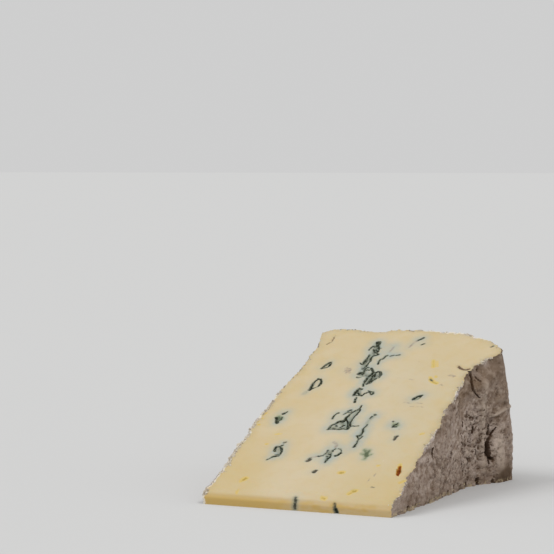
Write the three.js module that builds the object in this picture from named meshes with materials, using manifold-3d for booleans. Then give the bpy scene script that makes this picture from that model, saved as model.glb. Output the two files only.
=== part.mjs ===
// A wedge of soft blue cheese, cut from a wheel and lying on one of its two cut faces.
// While it is cut, the wheel's axis is the X axis, so a point's distance from that axis is its
// radius in the wheel. At the end the solid is moved so that its origin is the middle of its base.
// Millimetres, +Z up, blunt tip towards -Y, outer rind towards +Y.

import * as THREE from "three";
import { ImprovedNoise } from "three/addons/math/ImprovedNoise.js";
import { mergeVertices } from "three/addons/utils/BufferGeometryUtils.js";
import Module from "manifold-3d";

const wasm = await Module();
wasm.setup();
const noise = new ImprovedNoise();
const { clamp, degToRad, smoothstep } = THREE.MathUtils;

// The wheel that the wedge is cut from
const WHEEL_RADIUS = 113; // at the corners of the rim
const WHEEL_HEIGHT = 70; // between the flat faces, near the axis
const RIM_CROWN = 6.5; // how much further the middle of the rim stands out
const CROWN_POWER = 3; // how squarely the crown falls to the corners
const RIGHT_FLARE = 12; // how far the right face turns out at the rim
const FLARE_START = 0.7; // share of the radius where the flare begins
const RIGHT_BELLY = 1.8; // swelling of the right face at half radius
const LEFT_LEAN = 7; // how far the left face leans in at the rim
const LEFT_BELLY = 1.8; // swelling of the left face at half radius
const LEFT_ROUND = 3; // radius of the rim's left corner
const RIGHT_ROUND = 9; // radius of the rim's right corner

// The cuts
const WEDGE_ANGLE = degToRad(27.9);
const CUT_TWIST = degToRad(0.85); // the upper cut is steeper by this at its left edge, flatter at its right
const CUT_WAVE = 0.5; // height of the upper cut's slow waves
const CUT_WAVE_LENGTH = 26;
const TIP_HEIGHT = 4.3; // height of the blunt tip

// The rind's relief
const GRID = 2.1; // spacing of the stock's vertices
const SWELL_HEIGHT = 1.3;
const SWELL_LENGTH = 17;
const CREASE_HEIGHT = 0.8;
const CREASE_WIDTH = 5;
const CREASE_LENGTH = 13; // creases run up the face
const CRACK_DEPTH = 1.1;
const CRACK_WIDTH = 0.14; // in units of the crease noise

// Openings in the paste, where the mould has room to grow: x and radius of the middle on the
// upper cut, length, width, and turn in degrees from the radius towards +X
const OPENING_DEPTH = 0.7; // in widths
const OPENINGS = [
  { vein: "main", x: -4, radius: 105, length: 10, width: 3, turn: -8 },
  { vein: "main", x: -4, radius: 95, length: 10, width: 4, turn: 5 },
  { vein: "main", x: -2, radius: 87, length: 7, width: 4, turn: 30 },
  { vein: "main", x: 2, radius: 84, length: 10, width: 5, turn: 12 },
  { vein: "main", x: -1, radius: 75, length: 6, width: 4, turn: 0 },
  { vein: "branch", x: 4, radius: 99, length: 7, width: 1.6, turn: 55 },
  { vein: "middle", x: 1, radius: 57, length: 15, width: 3.5, turn: 25 },
  { vein: "middle", x: 3, radius: 58, length: 9, width: 3, turn: -10 },
  { vein: "right", x: 10, radius: 49, length: 8, width: 2, turn: 6 },
  { vein: "right", x: 20, radius: 57, length: 4, width: 2.5, turn: 0 },
  { vein: "right", x: 23, radius: 75, length: 5, width: 2.2, turn: 30 },
  { vein: "left", x: -19, radius: 92, length: 6, width: 2.4, turn: 28 },
  { vein: "left", x: -19, radius: 78, length: 9, width: 3.2, turn: 16 },
  { vein: "left", x: -24, radius: 56, length: 7, width: 3.2, turn: 22 },
  { vein: "left", x: -17, radius: 36, length: 8, width: 4, turn: 18 },
  { vein: "low", x: 2, radius: 36, length: 7, width: 3, turn: 0 },
  { vein: "low", x: -4, radius: 32, length: 4, width: 2.2, turn: 20 },
  { vein: "amber pit", x: 31, radius: 30, length: 4.5, width: 2.2, turn: -10 },
  { vein: "pale pit", x: 25, radius: 87, length: 5, width: 2.6, turn: -40 },
];

// Clefts in the right rind: y and z of the middle, height, width, and turn in degrees from upright
const CLEFT_DEPTH = 3.2;
const CLEFTS = [
  { y: 93.5, z: 15.5, height: 17, width: 3.2, turn: 6 },
  { y: 97.5, z: 20.5, height: 9, width: 2, turn: -40 },
  { y: 85.5, z: 36.5, height: 9, width: 1.9, turn: 22 },
  { y: 45, z: 11, height: 12, width: 1.6, turn: 2 },
  { y: 77, z: 21.5, height: 9, width: 1.8, turn: 4 },
];

const RAGGED_EDGE = 0.7; // unevenness of the openings and clefts, in parts of their size
const RAGGED_GRAIN = 1.9; // waves of that unevenness across a hollow

const TIP_Y = TIP_HEIGHT / Math.tan(WEDGE_ANGLE);
const HALF_HEIGHT = WHEEL_HEIGHT / 2;
const OVERSIZE = 4; // what the stock has beyond each cut
const STOCK_TOP = WHEEL_RADIUS * Math.sin(WEDGE_ANGLE) + 2 * OVERSIZE;

/** A closed three.js geometry as a solid that can be joined and cut. */
function solidOf(geometry) {
  geometry.deleteAttribute("normal");
  geometry.deleteAttribute("uv");
  const merged = mergeVertices(geometry);
  return new wasm.Manifold(
    new wasm.Mesh({
      numProp: 3,
      vertProperties: merged.attributes.position.array,
      triVerts: new Uint32Array(merged.index.array),
    }),
  );
}

/** Moves every vertex of a geometry by a function that changes the vector it is given. */
function reshape(geometry, move) {
  const position = geometry.attributes.position;
  const point = new THREE.Vector3();
  for (let i = 0; i < position.count; i++) {
    move(point.fromBufferAttribute(position, i), i);
    position.setXYZ(i, point.x, point.y, point.z);
  }
  return geometry;
}

/** Shapes a point of the unit cube into the wheel: x across its height, y outwards, z up. */
function toWheel(point) {
  const side = Math.sign(point.x);
  const round = side < 0 ? LEFT_ROUND : RIGHT_ROUND;
  let across = Math.abs(point.x) * WHEEL_HEIGHT;
  let outward = (point.y + 0.5) * WHEEL_RADIUS;
  const overSide = across - (HALF_HEIGHT - round);
  const overRim = outward - (WHEEL_RADIUS - round);
  if (overSide > 0 && overRim > 0) {
    const pull = Math.max(overSide, overRim) / Math.hypot(overSide, overRim);
    across = HALF_HEIGHT - round + overSide * pull;
    outward = WHEEL_RADIUS - round + overRim * pull;
  }
  const share = across / HALF_HEIGHT;
  const rim = WHEEL_RADIUS + RIM_CROWN * (1 - share ** CROWN_POWER);
  point.z = -OVERSIZE + (point.z + 0.5) * (STOCK_TOP + OVERSIZE);
  const start = TIP_Y - OVERSIZE;
  const end = Math.sqrt(rim ** 2 - point.z ** 2);
  point.y = start + (outward / WHEEL_RADIUS) * (end - start);
  const radius = clamp(Math.hypot(point.y, point.z) / WHEEL_RADIUS, 0, 1);
  const flare = RIGHT_FLARE * smoothstep(radius, FLARE_START, 1);
  const belly = Math.sin(Math.PI * radius);
  const rightShift = flare + RIGHT_BELLY * belly;
  const leftShift = LEFT_LEAN * radius - LEFT_BELLY * belly;
  const toRight = (1 + side * share) / 2;
  point.x = side * across + rightShift * toRight + leftShift * (1 - toRight);
}

/** How far the rind stands out at a point: slow swellings, upright creases and sharp cracks. */
function rindRelief({ x, y, z }) {
  const swell = noise.noise(x / SWELL_LENGTH, y / SWELL_LENGTH, z / SWELL_LENGTH);
  const crease = noise.noise(x / CREASE_WIDTH, y / CREASE_WIDTH, z / CREASE_LENGTH);
  const crack = Math.max(0, 1 - Math.abs(crease) / CRACK_WIDTH);
  return SWELL_HEIGHT * swell + CREASE_HEIGHT * crease - CRACK_DEPTH * crack;
}

/** A block of the wheel with its rough rind, larger than the wedge on the sides that are cut. */
function makeStock() {
  const steps = (length) => Math.round(length / GRID);
  const cube = new THREE.BoxGeometry(1, 1, 1, steps(WHEEL_HEIGHT), steps(WHEEL_RADIUS), steps(STOCK_TOP));
  cube.deleteAttribute("normal");
  cube.deleteAttribute("uv");
  const block = reshape(mergeVertices(cube), toWheel);
  block.computeVertexNormals();
  const outward = new THREE.Vector3();
  reshape(block, (point, i) => {
    outward.fromBufferAttribute(block.attributes.normal, i);
    point.addScaledVector(outward, rindRelief(point));
  });
  return solidOf(block);
}

const KNIFE = 300; // larger than the stock
const KNIFE_STEPS = 36;

/** The waste above the upper cut: its underside has the cut's twist and slow waves. */
function makeUpperWaste() {
  const slab = new THREE.BoxGeometry(KNIFE, KNIFE, KNIFE, KNIFE_STEPS, KNIFE_STEPS, 1);
  slab.translate(0, 0, KNIFE / 2);
  reshape(slab, (point) => {
    if (point.z > 0) return;
    const wave = noise.noise(point.x / CUT_WAVE_LENGTH, point.y / CUT_WAVE_LENGTH, 0);
    const twist = (-Math.tan(CUT_TWIST) * point.y * point.x) / HALF_HEIGHT;
    point.z = twist + CUT_WAVE * wave;
  });
  slab.rotateX(WEDGE_ANGLE);
  return solidOf(slab);
}

/** The waste under the face that the wedge lies on. */
function makeLowerWaste() {
  return solidOf(new THREE.BoxGeometry(KNIFE, 2 * KNIFE, KNIFE).translate(0, 0, -KNIFE / 2));
}

/** The thin end of the stock, which the blunt tip lacks. */
function makeTipWaste() {
  return solidOf(new THREE.BoxGeometry(KNIFE, KNIFE, KNIFE).translate(0, TIP_Y - KNIFE / 2, 0));
}

/** A ragged lens-shaped hollow with the given half sizes; the seed makes each one different. */
function makeLens(halfX, halfY, halfZ, seed) {
  const lens = new THREE.SphereGeometry(1, 10, 7);
  reshape(lens, (point) => {
    const [a, b, c] = point.toArray().map((value) => value * RAGGED_GRAIN);
    point.multiplyScalar(1 + RAGGED_EDGE * noise.noise(a, b, c + seed));
  });
  return lens.scale(halfX, halfY, halfZ);
}

/** One opening in the upper cut. */
function makeOpening({ x, radius, length, width, turn }) {
  const lens = makeLens(width / 2, length / 2, width * OPENING_DEPTH, x + radius);
  lens.rotateZ(-degToRad(turn));
  lens.translate(x, radius, (-Math.tan(CUT_TWIST) * radius * x) / HALF_HEIGHT);
  lens.rotateX(WEDGE_ANGLE);
  return solidOf(lens);
}

/** One cleft in the right rind, sunk into the face where the wheel's shape puts it. */
function makeCleft({ y, z, height, width, turn }) {
  const lens = makeLens(CLEFT_DEPTH, width / 2, height / 2, y + z);
  lens.rotateX(degToRad(turn));
  const radius = clamp(Math.hypot(y, z) / WHEEL_RADIUS, 0, 1);
  const flare = RIGHT_FLARE * smoothstep(radius, FLARE_START, 1);
  lens.translate(HALF_HEIGHT + flare + RIGHT_BELLY * Math.sin(Math.PI * radius), y, z);
  return solidOf(lens);
}

/** The wedge, cut from its stock, with its base's middle at the origin. */
function makeWedge() {
  let wedge = makeStock();
  const wastes = [makeUpperWaste(), makeLowerWaste(), makeTipWaste()];
  const hollows = [...OPENINGS.map(makeOpening), ...CLEFTS.map(makeCleft)];
  for (const waste of [...wastes, ...hollows]) wedge = wedge.subtract(waste);
  const { vertProperties, triVerts } = wedge.getMesh();
  const geometry = new THREE.BufferGeometry();
  geometry.setAttribute("position", new THREE.BufferAttribute(vertProperties, 3));
  geometry.setIndex(new THREE.BufferAttribute(triVerts, 1));
  geometry.computeBoundingBox();
  const middle = geometry.boundingBox.getCenter(new THREE.Vector3());
  geometry.translate(-middle.x, -middle.y, -geometry.boundingBox.min.z);
  geometry.computeVertexNormals();
  return geometry;
}

const paste = new THREE.MeshStandardMaterial({ color: 0xd6c296, roughness: 0.6, metalness: 0 });
const wedge = new THREE.Mesh(makeWedge(), paste);
wedge.name = "cheese_wedge";

const cheese = new THREE.Group();
cheese.add(wedge);

export default cheese;
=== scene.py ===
"""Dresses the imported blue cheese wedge: cut paste, mould veins, rough rind and crumbs."""

import logging
import math
from dataclasses import dataclass, field, replace
from enum import Enum
from typing import Any

import bmesh
import bpy
import numpy as np
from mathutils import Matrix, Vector, kdtree, noise


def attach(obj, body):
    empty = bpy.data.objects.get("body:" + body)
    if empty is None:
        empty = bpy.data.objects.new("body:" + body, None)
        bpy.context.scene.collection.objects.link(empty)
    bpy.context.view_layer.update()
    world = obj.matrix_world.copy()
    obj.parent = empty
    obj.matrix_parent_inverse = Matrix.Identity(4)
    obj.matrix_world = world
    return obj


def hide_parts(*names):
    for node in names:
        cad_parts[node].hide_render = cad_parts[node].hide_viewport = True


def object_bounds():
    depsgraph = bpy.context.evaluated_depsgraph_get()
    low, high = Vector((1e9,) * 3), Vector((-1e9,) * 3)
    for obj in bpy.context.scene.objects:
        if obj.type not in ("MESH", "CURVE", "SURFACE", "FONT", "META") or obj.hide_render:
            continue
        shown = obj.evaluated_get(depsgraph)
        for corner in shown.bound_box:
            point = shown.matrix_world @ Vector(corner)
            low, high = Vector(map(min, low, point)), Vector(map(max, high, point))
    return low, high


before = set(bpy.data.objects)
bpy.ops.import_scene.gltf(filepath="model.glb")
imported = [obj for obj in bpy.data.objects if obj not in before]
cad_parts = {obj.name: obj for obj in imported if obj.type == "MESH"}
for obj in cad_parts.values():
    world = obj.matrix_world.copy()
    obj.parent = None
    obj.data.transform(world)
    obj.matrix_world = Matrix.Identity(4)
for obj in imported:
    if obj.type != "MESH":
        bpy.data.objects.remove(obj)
CAD_LOW, CAD_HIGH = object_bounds()

LOG = logging.getLogger("cheese")
MM = 0.001
TINY = 1e-9
FAR_OFF = 99.0
CRAG_WEAKENING = 0.6
CRAG_FINENESS = 2.1
NODE = "cheese_wedge"
BODY = "root"

Array = np.ndarray
Point = tuple[float, float]
Lengths = tuple[float, float, float]
Colour = tuple[float, float, float, float]
Piece = bpy.types.Object
Mesh = bpy.types.Mesh
Socket = bpy.types.NodeSocket


def read(elements: Any, key: str, width: int = 1, kind: Any = float) -> Array:
    """Reads one property of all elements of a mesh.

    Args:
        elements: The vertices, faces, corners or values.
        key: The property's name.
        width: How many numbers each element has.
        kind: The numbers' type.

    Returns:
        One number or row for each element.
    """
    flat = np.empty(len(elements) * width, kind)
    elements.foreach_get(key, flat)
    return flat.reshape(-1, width) if width > 1 else flat


def add_object(name: str, data: Any) -> Piece:
    """Makes an object in the scene.

    Args:
        name: Its name.
        data: Its mesh, light or camera.

    Returns:
        The object.
    """
    made = bpy.data.objects.new(name, data)
    bpy.context.scene.collection.objects.link(made)
    return made


def smooth_step(value: Array, low: float, high: float) -> Array:
    """Eases numbers from 0 at low to 1 at high."""
    share = np.clip((value - low) / (high - low), 0.0, 1.0)
    return share * share * (3.0 - 2.0 * share)


def noise_at(points: Array, lengths: float | Lengths, seed: float = 0.0) -> Array:
    """Samples smooth noise, from about -1 to 1, at rows of x, y, z with wave lengths in millimetres."""
    scaled = points / np.asarray(lengths) + seed
    return np.array([noise.noise(Vector(row)) for row in scaled])


def crags_at(points: Array, lengths: float | Lengths, octaves: int, seed: float = 0.0) -> Array:
    """Samples rough noise, from about -1 to 1, at rows of x, y, z, with finer detail at each octave."""
    scaled = points / np.asarray(lengths) + seed
    return np.array([noise.fractal(Vector(row), CRAG_WEAKENING, CRAG_FINENESS, octaves) for row in scaled])


def shifts_at(points: Array, lengths: float | Lengths, seeds: Point) -> Array:
    """Samples smooth noise twice at rows of x, y, z, as small moves along two axes."""
    return np.column_stack([noise_at(points, lengths, seed) for seed in seeds])


def distance_to_path(places: Array, path: tuple[Point, ...]) -> Array:
    """Measures how far places are from a line of straight stretches.

    Args:
        places: Rows of two coordinates.
        path: Corners of the line, in the same coordinates.

    Returns:
        One distance for each place.
    """
    nearest = np.full(len(places), np.inf)
    for start, end in zip(path[:-1], path[1:]):
        a = np.asarray(start)
        along = np.asarray(end) - a
        length = max(float(along @ along), TINY)
        share = np.clip(((places - a) @ along) / length, 0.0, 1.0)
        gap = places - a - share[:, None] * along
        nearest = np.minimum(nearest, np.hypot(gap[:, 0], gap[:, 1]))
    return nearest


@dataclass(frozen=True)
class Wheel:
    """The wheel that the wedge is cut from, about its own axis, in millimetres."""

    radius: float = 113.0
    height: float = 70.0
    rim_crown: float = 6.5
    crown_power: float = 3.0
    right_flare: float = 12.0
    flare_start: float = 0.7
    right_belly: float = 1.8
    left_lean: float = 7.0
    left_belly: float = 1.8
    left_round: float = 1.0
    right_round: float = 9.0
    wedge_angle: float = math.radians(27.9)
    cut_twist: float = math.radians(0.85)
    tip_height: float = 4.3
    tip_round: float = 0.17
    tip_reach: float = 2.4
    tip_curl: float = 0.9
    curl_start: float = 0.55
    mid_plane: float = -5.77
    twist_rounds: int = 8

    @property
    def tip_y(self) -> float:
        """Distance of the blunt tip from the wheel's axis."""
        return self.tip_height / math.tan(self.wedge_angle)

    @property
    def axis(self) -> Array:
        """Place of the wheel's axis in the part's frame."""
        return np.array((self.mid_plane, CAD_LOW.y / MM - self.tip_y, 0.0))

    def cut_angle(self, x: Array) -> Array:
        """Angle of the upper cut at places across the wheel."""
        return self.wedge_angle - self.cut_twist * x / (self.height / 2)

    def on_upper_cut(self, start: Array, ray: Array) -> Point:
        """Finds where a line meets the upper cut, which is a plane but for its slight twist.

        Args:
            start: A point of the line, in the wheel.
            ray: The line's direction.

        Returns:
            The place across and the distance from the axis.
        """
        place = start
        for _ in range(self.twist_rounds):
            angle = self.cut_angle(place[0])
            normal = np.array((0.0, -math.sin(angle), math.cos(angle)))
            place = start - ray * (start @ normal) / (ray @ normal)
        return float(place[0]), math.hypot(place[1], place[2])

    def lattice(self, u: Array, v: Array, w: Array) -> tuple[Array, Array, Array]:
        """Shapes lattice places into the wedge.

        Args:
            u: Place across, from -1 at the left face to 1 at the right face.
            v: Place outwards, from 0 at the tip to 1 at the rim.
            w: Place between the cuts, from 0 at the lower to 1 at the upper one.

        Returns:
            The places across, the distances from the axis and the angles about it.
        """
        half = self.height / 2
        side = np.sign(u)
        rounding = np.where(u < 0, self.left_round, self.right_round)
        across = np.abs(u) * half
        outward = v * self.radius
        over_side = across - (half - rounding)
        over_rim = outward - (self.radius - rounding)
        corner = (over_side > 0) & (over_rim > 0)
        longest = np.maximum(over_side, over_rim)
        pull = np.where(corner, longest / np.maximum(np.hypot(over_side, over_rim), TINY), 1.0)
        across = np.where(corner, half - rounding + over_side * pull, across)
        outward = np.where(corner, self.radius - rounding + over_rim * pull, outward)
        share = across / half
        from_tip = np.clip(outward * (1.0 - self.tip_y / self.radius) / self.tip_reach, 0.0, 1.0)
        angle = w * self.cut_angle(side * across) * (1.0 - self.tip_round * (1.0 - from_tip) ** 2)
        rim = self.radius + self.rim_crown * (1.0 - share**self.crown_power)
        start = self.tip_y / np.cos(angle) + self.tip_curl * smooth_step(w, self.curl_start, 1.0) ** 2
        distance = start + outward / self.radius * (rim - start)
        reach = np.clip(distance / self.radius, 0.0, 1.0)
        flare = self.right_flare * smooth_step(reach, self.flare_start, 1.0)
        belly = np.sin(np.pi * reach)
        right_shift = flare + self.right_belly * belly
        left_shift = self.left_lean * reach - self.left_belly * belly
        to_right = (1.0 + side * share) / 2
        x = side * across + right_shift * to_right + left_shift * (1.0 - to_right)
        return x, distance, angle


@dataclass(frozen=True)
class Sight:
    """Where the photograph was taken from, in millimetres from the wheel's axis, and its size in pixels."""

    place: Lengths = (292.4, -652.2, 119.5)
    yaw: float = math.radians(-24.4)
    pitch: float = math.radians(3.045)
    focal_pixels: float = 2100.0
    frame_pixels: float = 554.0

    @property
    def ahead(self) -> Array:
        """Direction in which the camera looks."""
        flat = math.cos(self.pitch)
        return np.array((math.sin(self.yaw) * flat, math.cos(self.yaw) * flat, -math.sin(self.pitch)))

    def ray(self, column: float, row: float) -> Array:
        """Gives the line of sight through a point of the photograph.

        Args:
            column: Pixels from its left edge.
            row: Pixels from its upper edge.

        Returns:
            The line's direction, in the wheel.
        """
        right = np.array((math.cos(self.yaw), -math.sin(self.yaw), 0.0))
        up = np.cross(right, self.ahead)
        middle = self.frame_pixels / 2
        return self.ahead + ((column - middle) * right + (middle - row) * up) / self.focal_pixels


class Growth(Enum):
    """What a mark on the cut paste is."""

    INK = "ink"
    GREEN = "green"
    FAINT = "faint"
    PIT = "pit"
    AMBER = "amber"
    BROWN = "brown"
    SMUT = "smut"
    HAZE = "haze"


@dataclass(frozen=True)
class Mark:
    """One mark on a cut face, drawn as a line, in millimetres.

    Attributes:
        growth: What the mark is.
        width: Width of the line.
        path: Corners of the line, across and outwards, or a crop's pixels until the crop carries them over.
        depth: How far the paste is open under it.
        stain: Strength of the pale blue stain round it.
        reach: How far that stain reaches.
    """

    growth: Growth
    width: float
    path: tuple[Point, ...]
    depth: float = 0.35
    stain: float = 0.64
    reach: float = 2.4


@dataclass(frozen=True)
class Crop:
    """An enlarged part of the photograph, in which points of marks were picked.

    Attributes:
        left: The photograph's column at its left edge.
        top: The photograph's row at its upper edge.
        zoom: How many times it is enlarged.
    """

    left: float = 0.0
    top: float = 0.0
    zoom: float = 1.0

    def marks(self, *picked: Mark) -> tuple[Mark, ...]:
        """Carries marks, whose paths are columns and rows of the crop, onto the upper cut."""
        return tuple(replace(mark, path=tuple(map(self._on_cut, mark.path))) for mark in picked)

    def _on_cut(self, pick: Point) -> Point:
        """Finds the place on the upper cut that shows at a picked point.

        Args:
            pick: Column and row of the crop.

        Returns:
            The place across and the distance from the axis.
        """
        sight = Sight()
        ray = sight.ray(self.left + pick[0] / self.zoom, self.top + pick[1] / self.zoom)
        return Wheel().on_upper_cut(np.array(sight.place), ray)


@dataclass(frozen=True)
class Opening:
    """A hollow in the cut paste, in millimetres and degrees.

    Attributes:
        x: Place of its middle across the cut.
        radius: Distance of its middle from the axis.
        length: Length, outwards before the turn.
        width: Width, across before the turn.
        turn: Turn from outwards towards the right.
        depth: Depth in its middle.
    """

    x: float
    radius: float
    length: float
    width: float
    turn: float
    depth: float


@dataclass(frozen=True)
class Cleft:
    """A split in the right rind, drawn as a line in y and z of the wheel, in millimetres.

    Attributes:
        path: Corners of the line.
        width: Width of the split.
        depth: How deep it is, below 0 for a ledge that stands out.
        fray: How ragged its outline is.
    """

    path: tuple[Point, ...]
    width: float
    depth: float
    fray: float = 0.1


@dataclass(frozen=True)
class Tone:
    """A broad dark or pale area of the right rind, in y and z of the wheel, in millimetres: painted shade
    when dark, painted light when pale.

    Attributes:
        y: Place of its middle along y.
        z: Place of its middle along z.
        reach_y: How far it reaches along y.
        reach_z: How far it reaches along z.
        strength: Above 0 for pale painted light, below 0 for dark painted shade.
    """

    y: float
    z: float
    reach_y: float
    reach_z: float
    strength: float


INK, GREEN, FAINT, PIT, AMBER, BROWN, SMUT, HAZE = Growth

WHOLE_PHOTO = Crop()
UPPER_CROP = Crop(300, 325, 7)
LONG_VEIN_CROP = Crop(340, 335, 18)
HALF_RADIUS_CROP = Crop(300, 400, 16)

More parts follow.
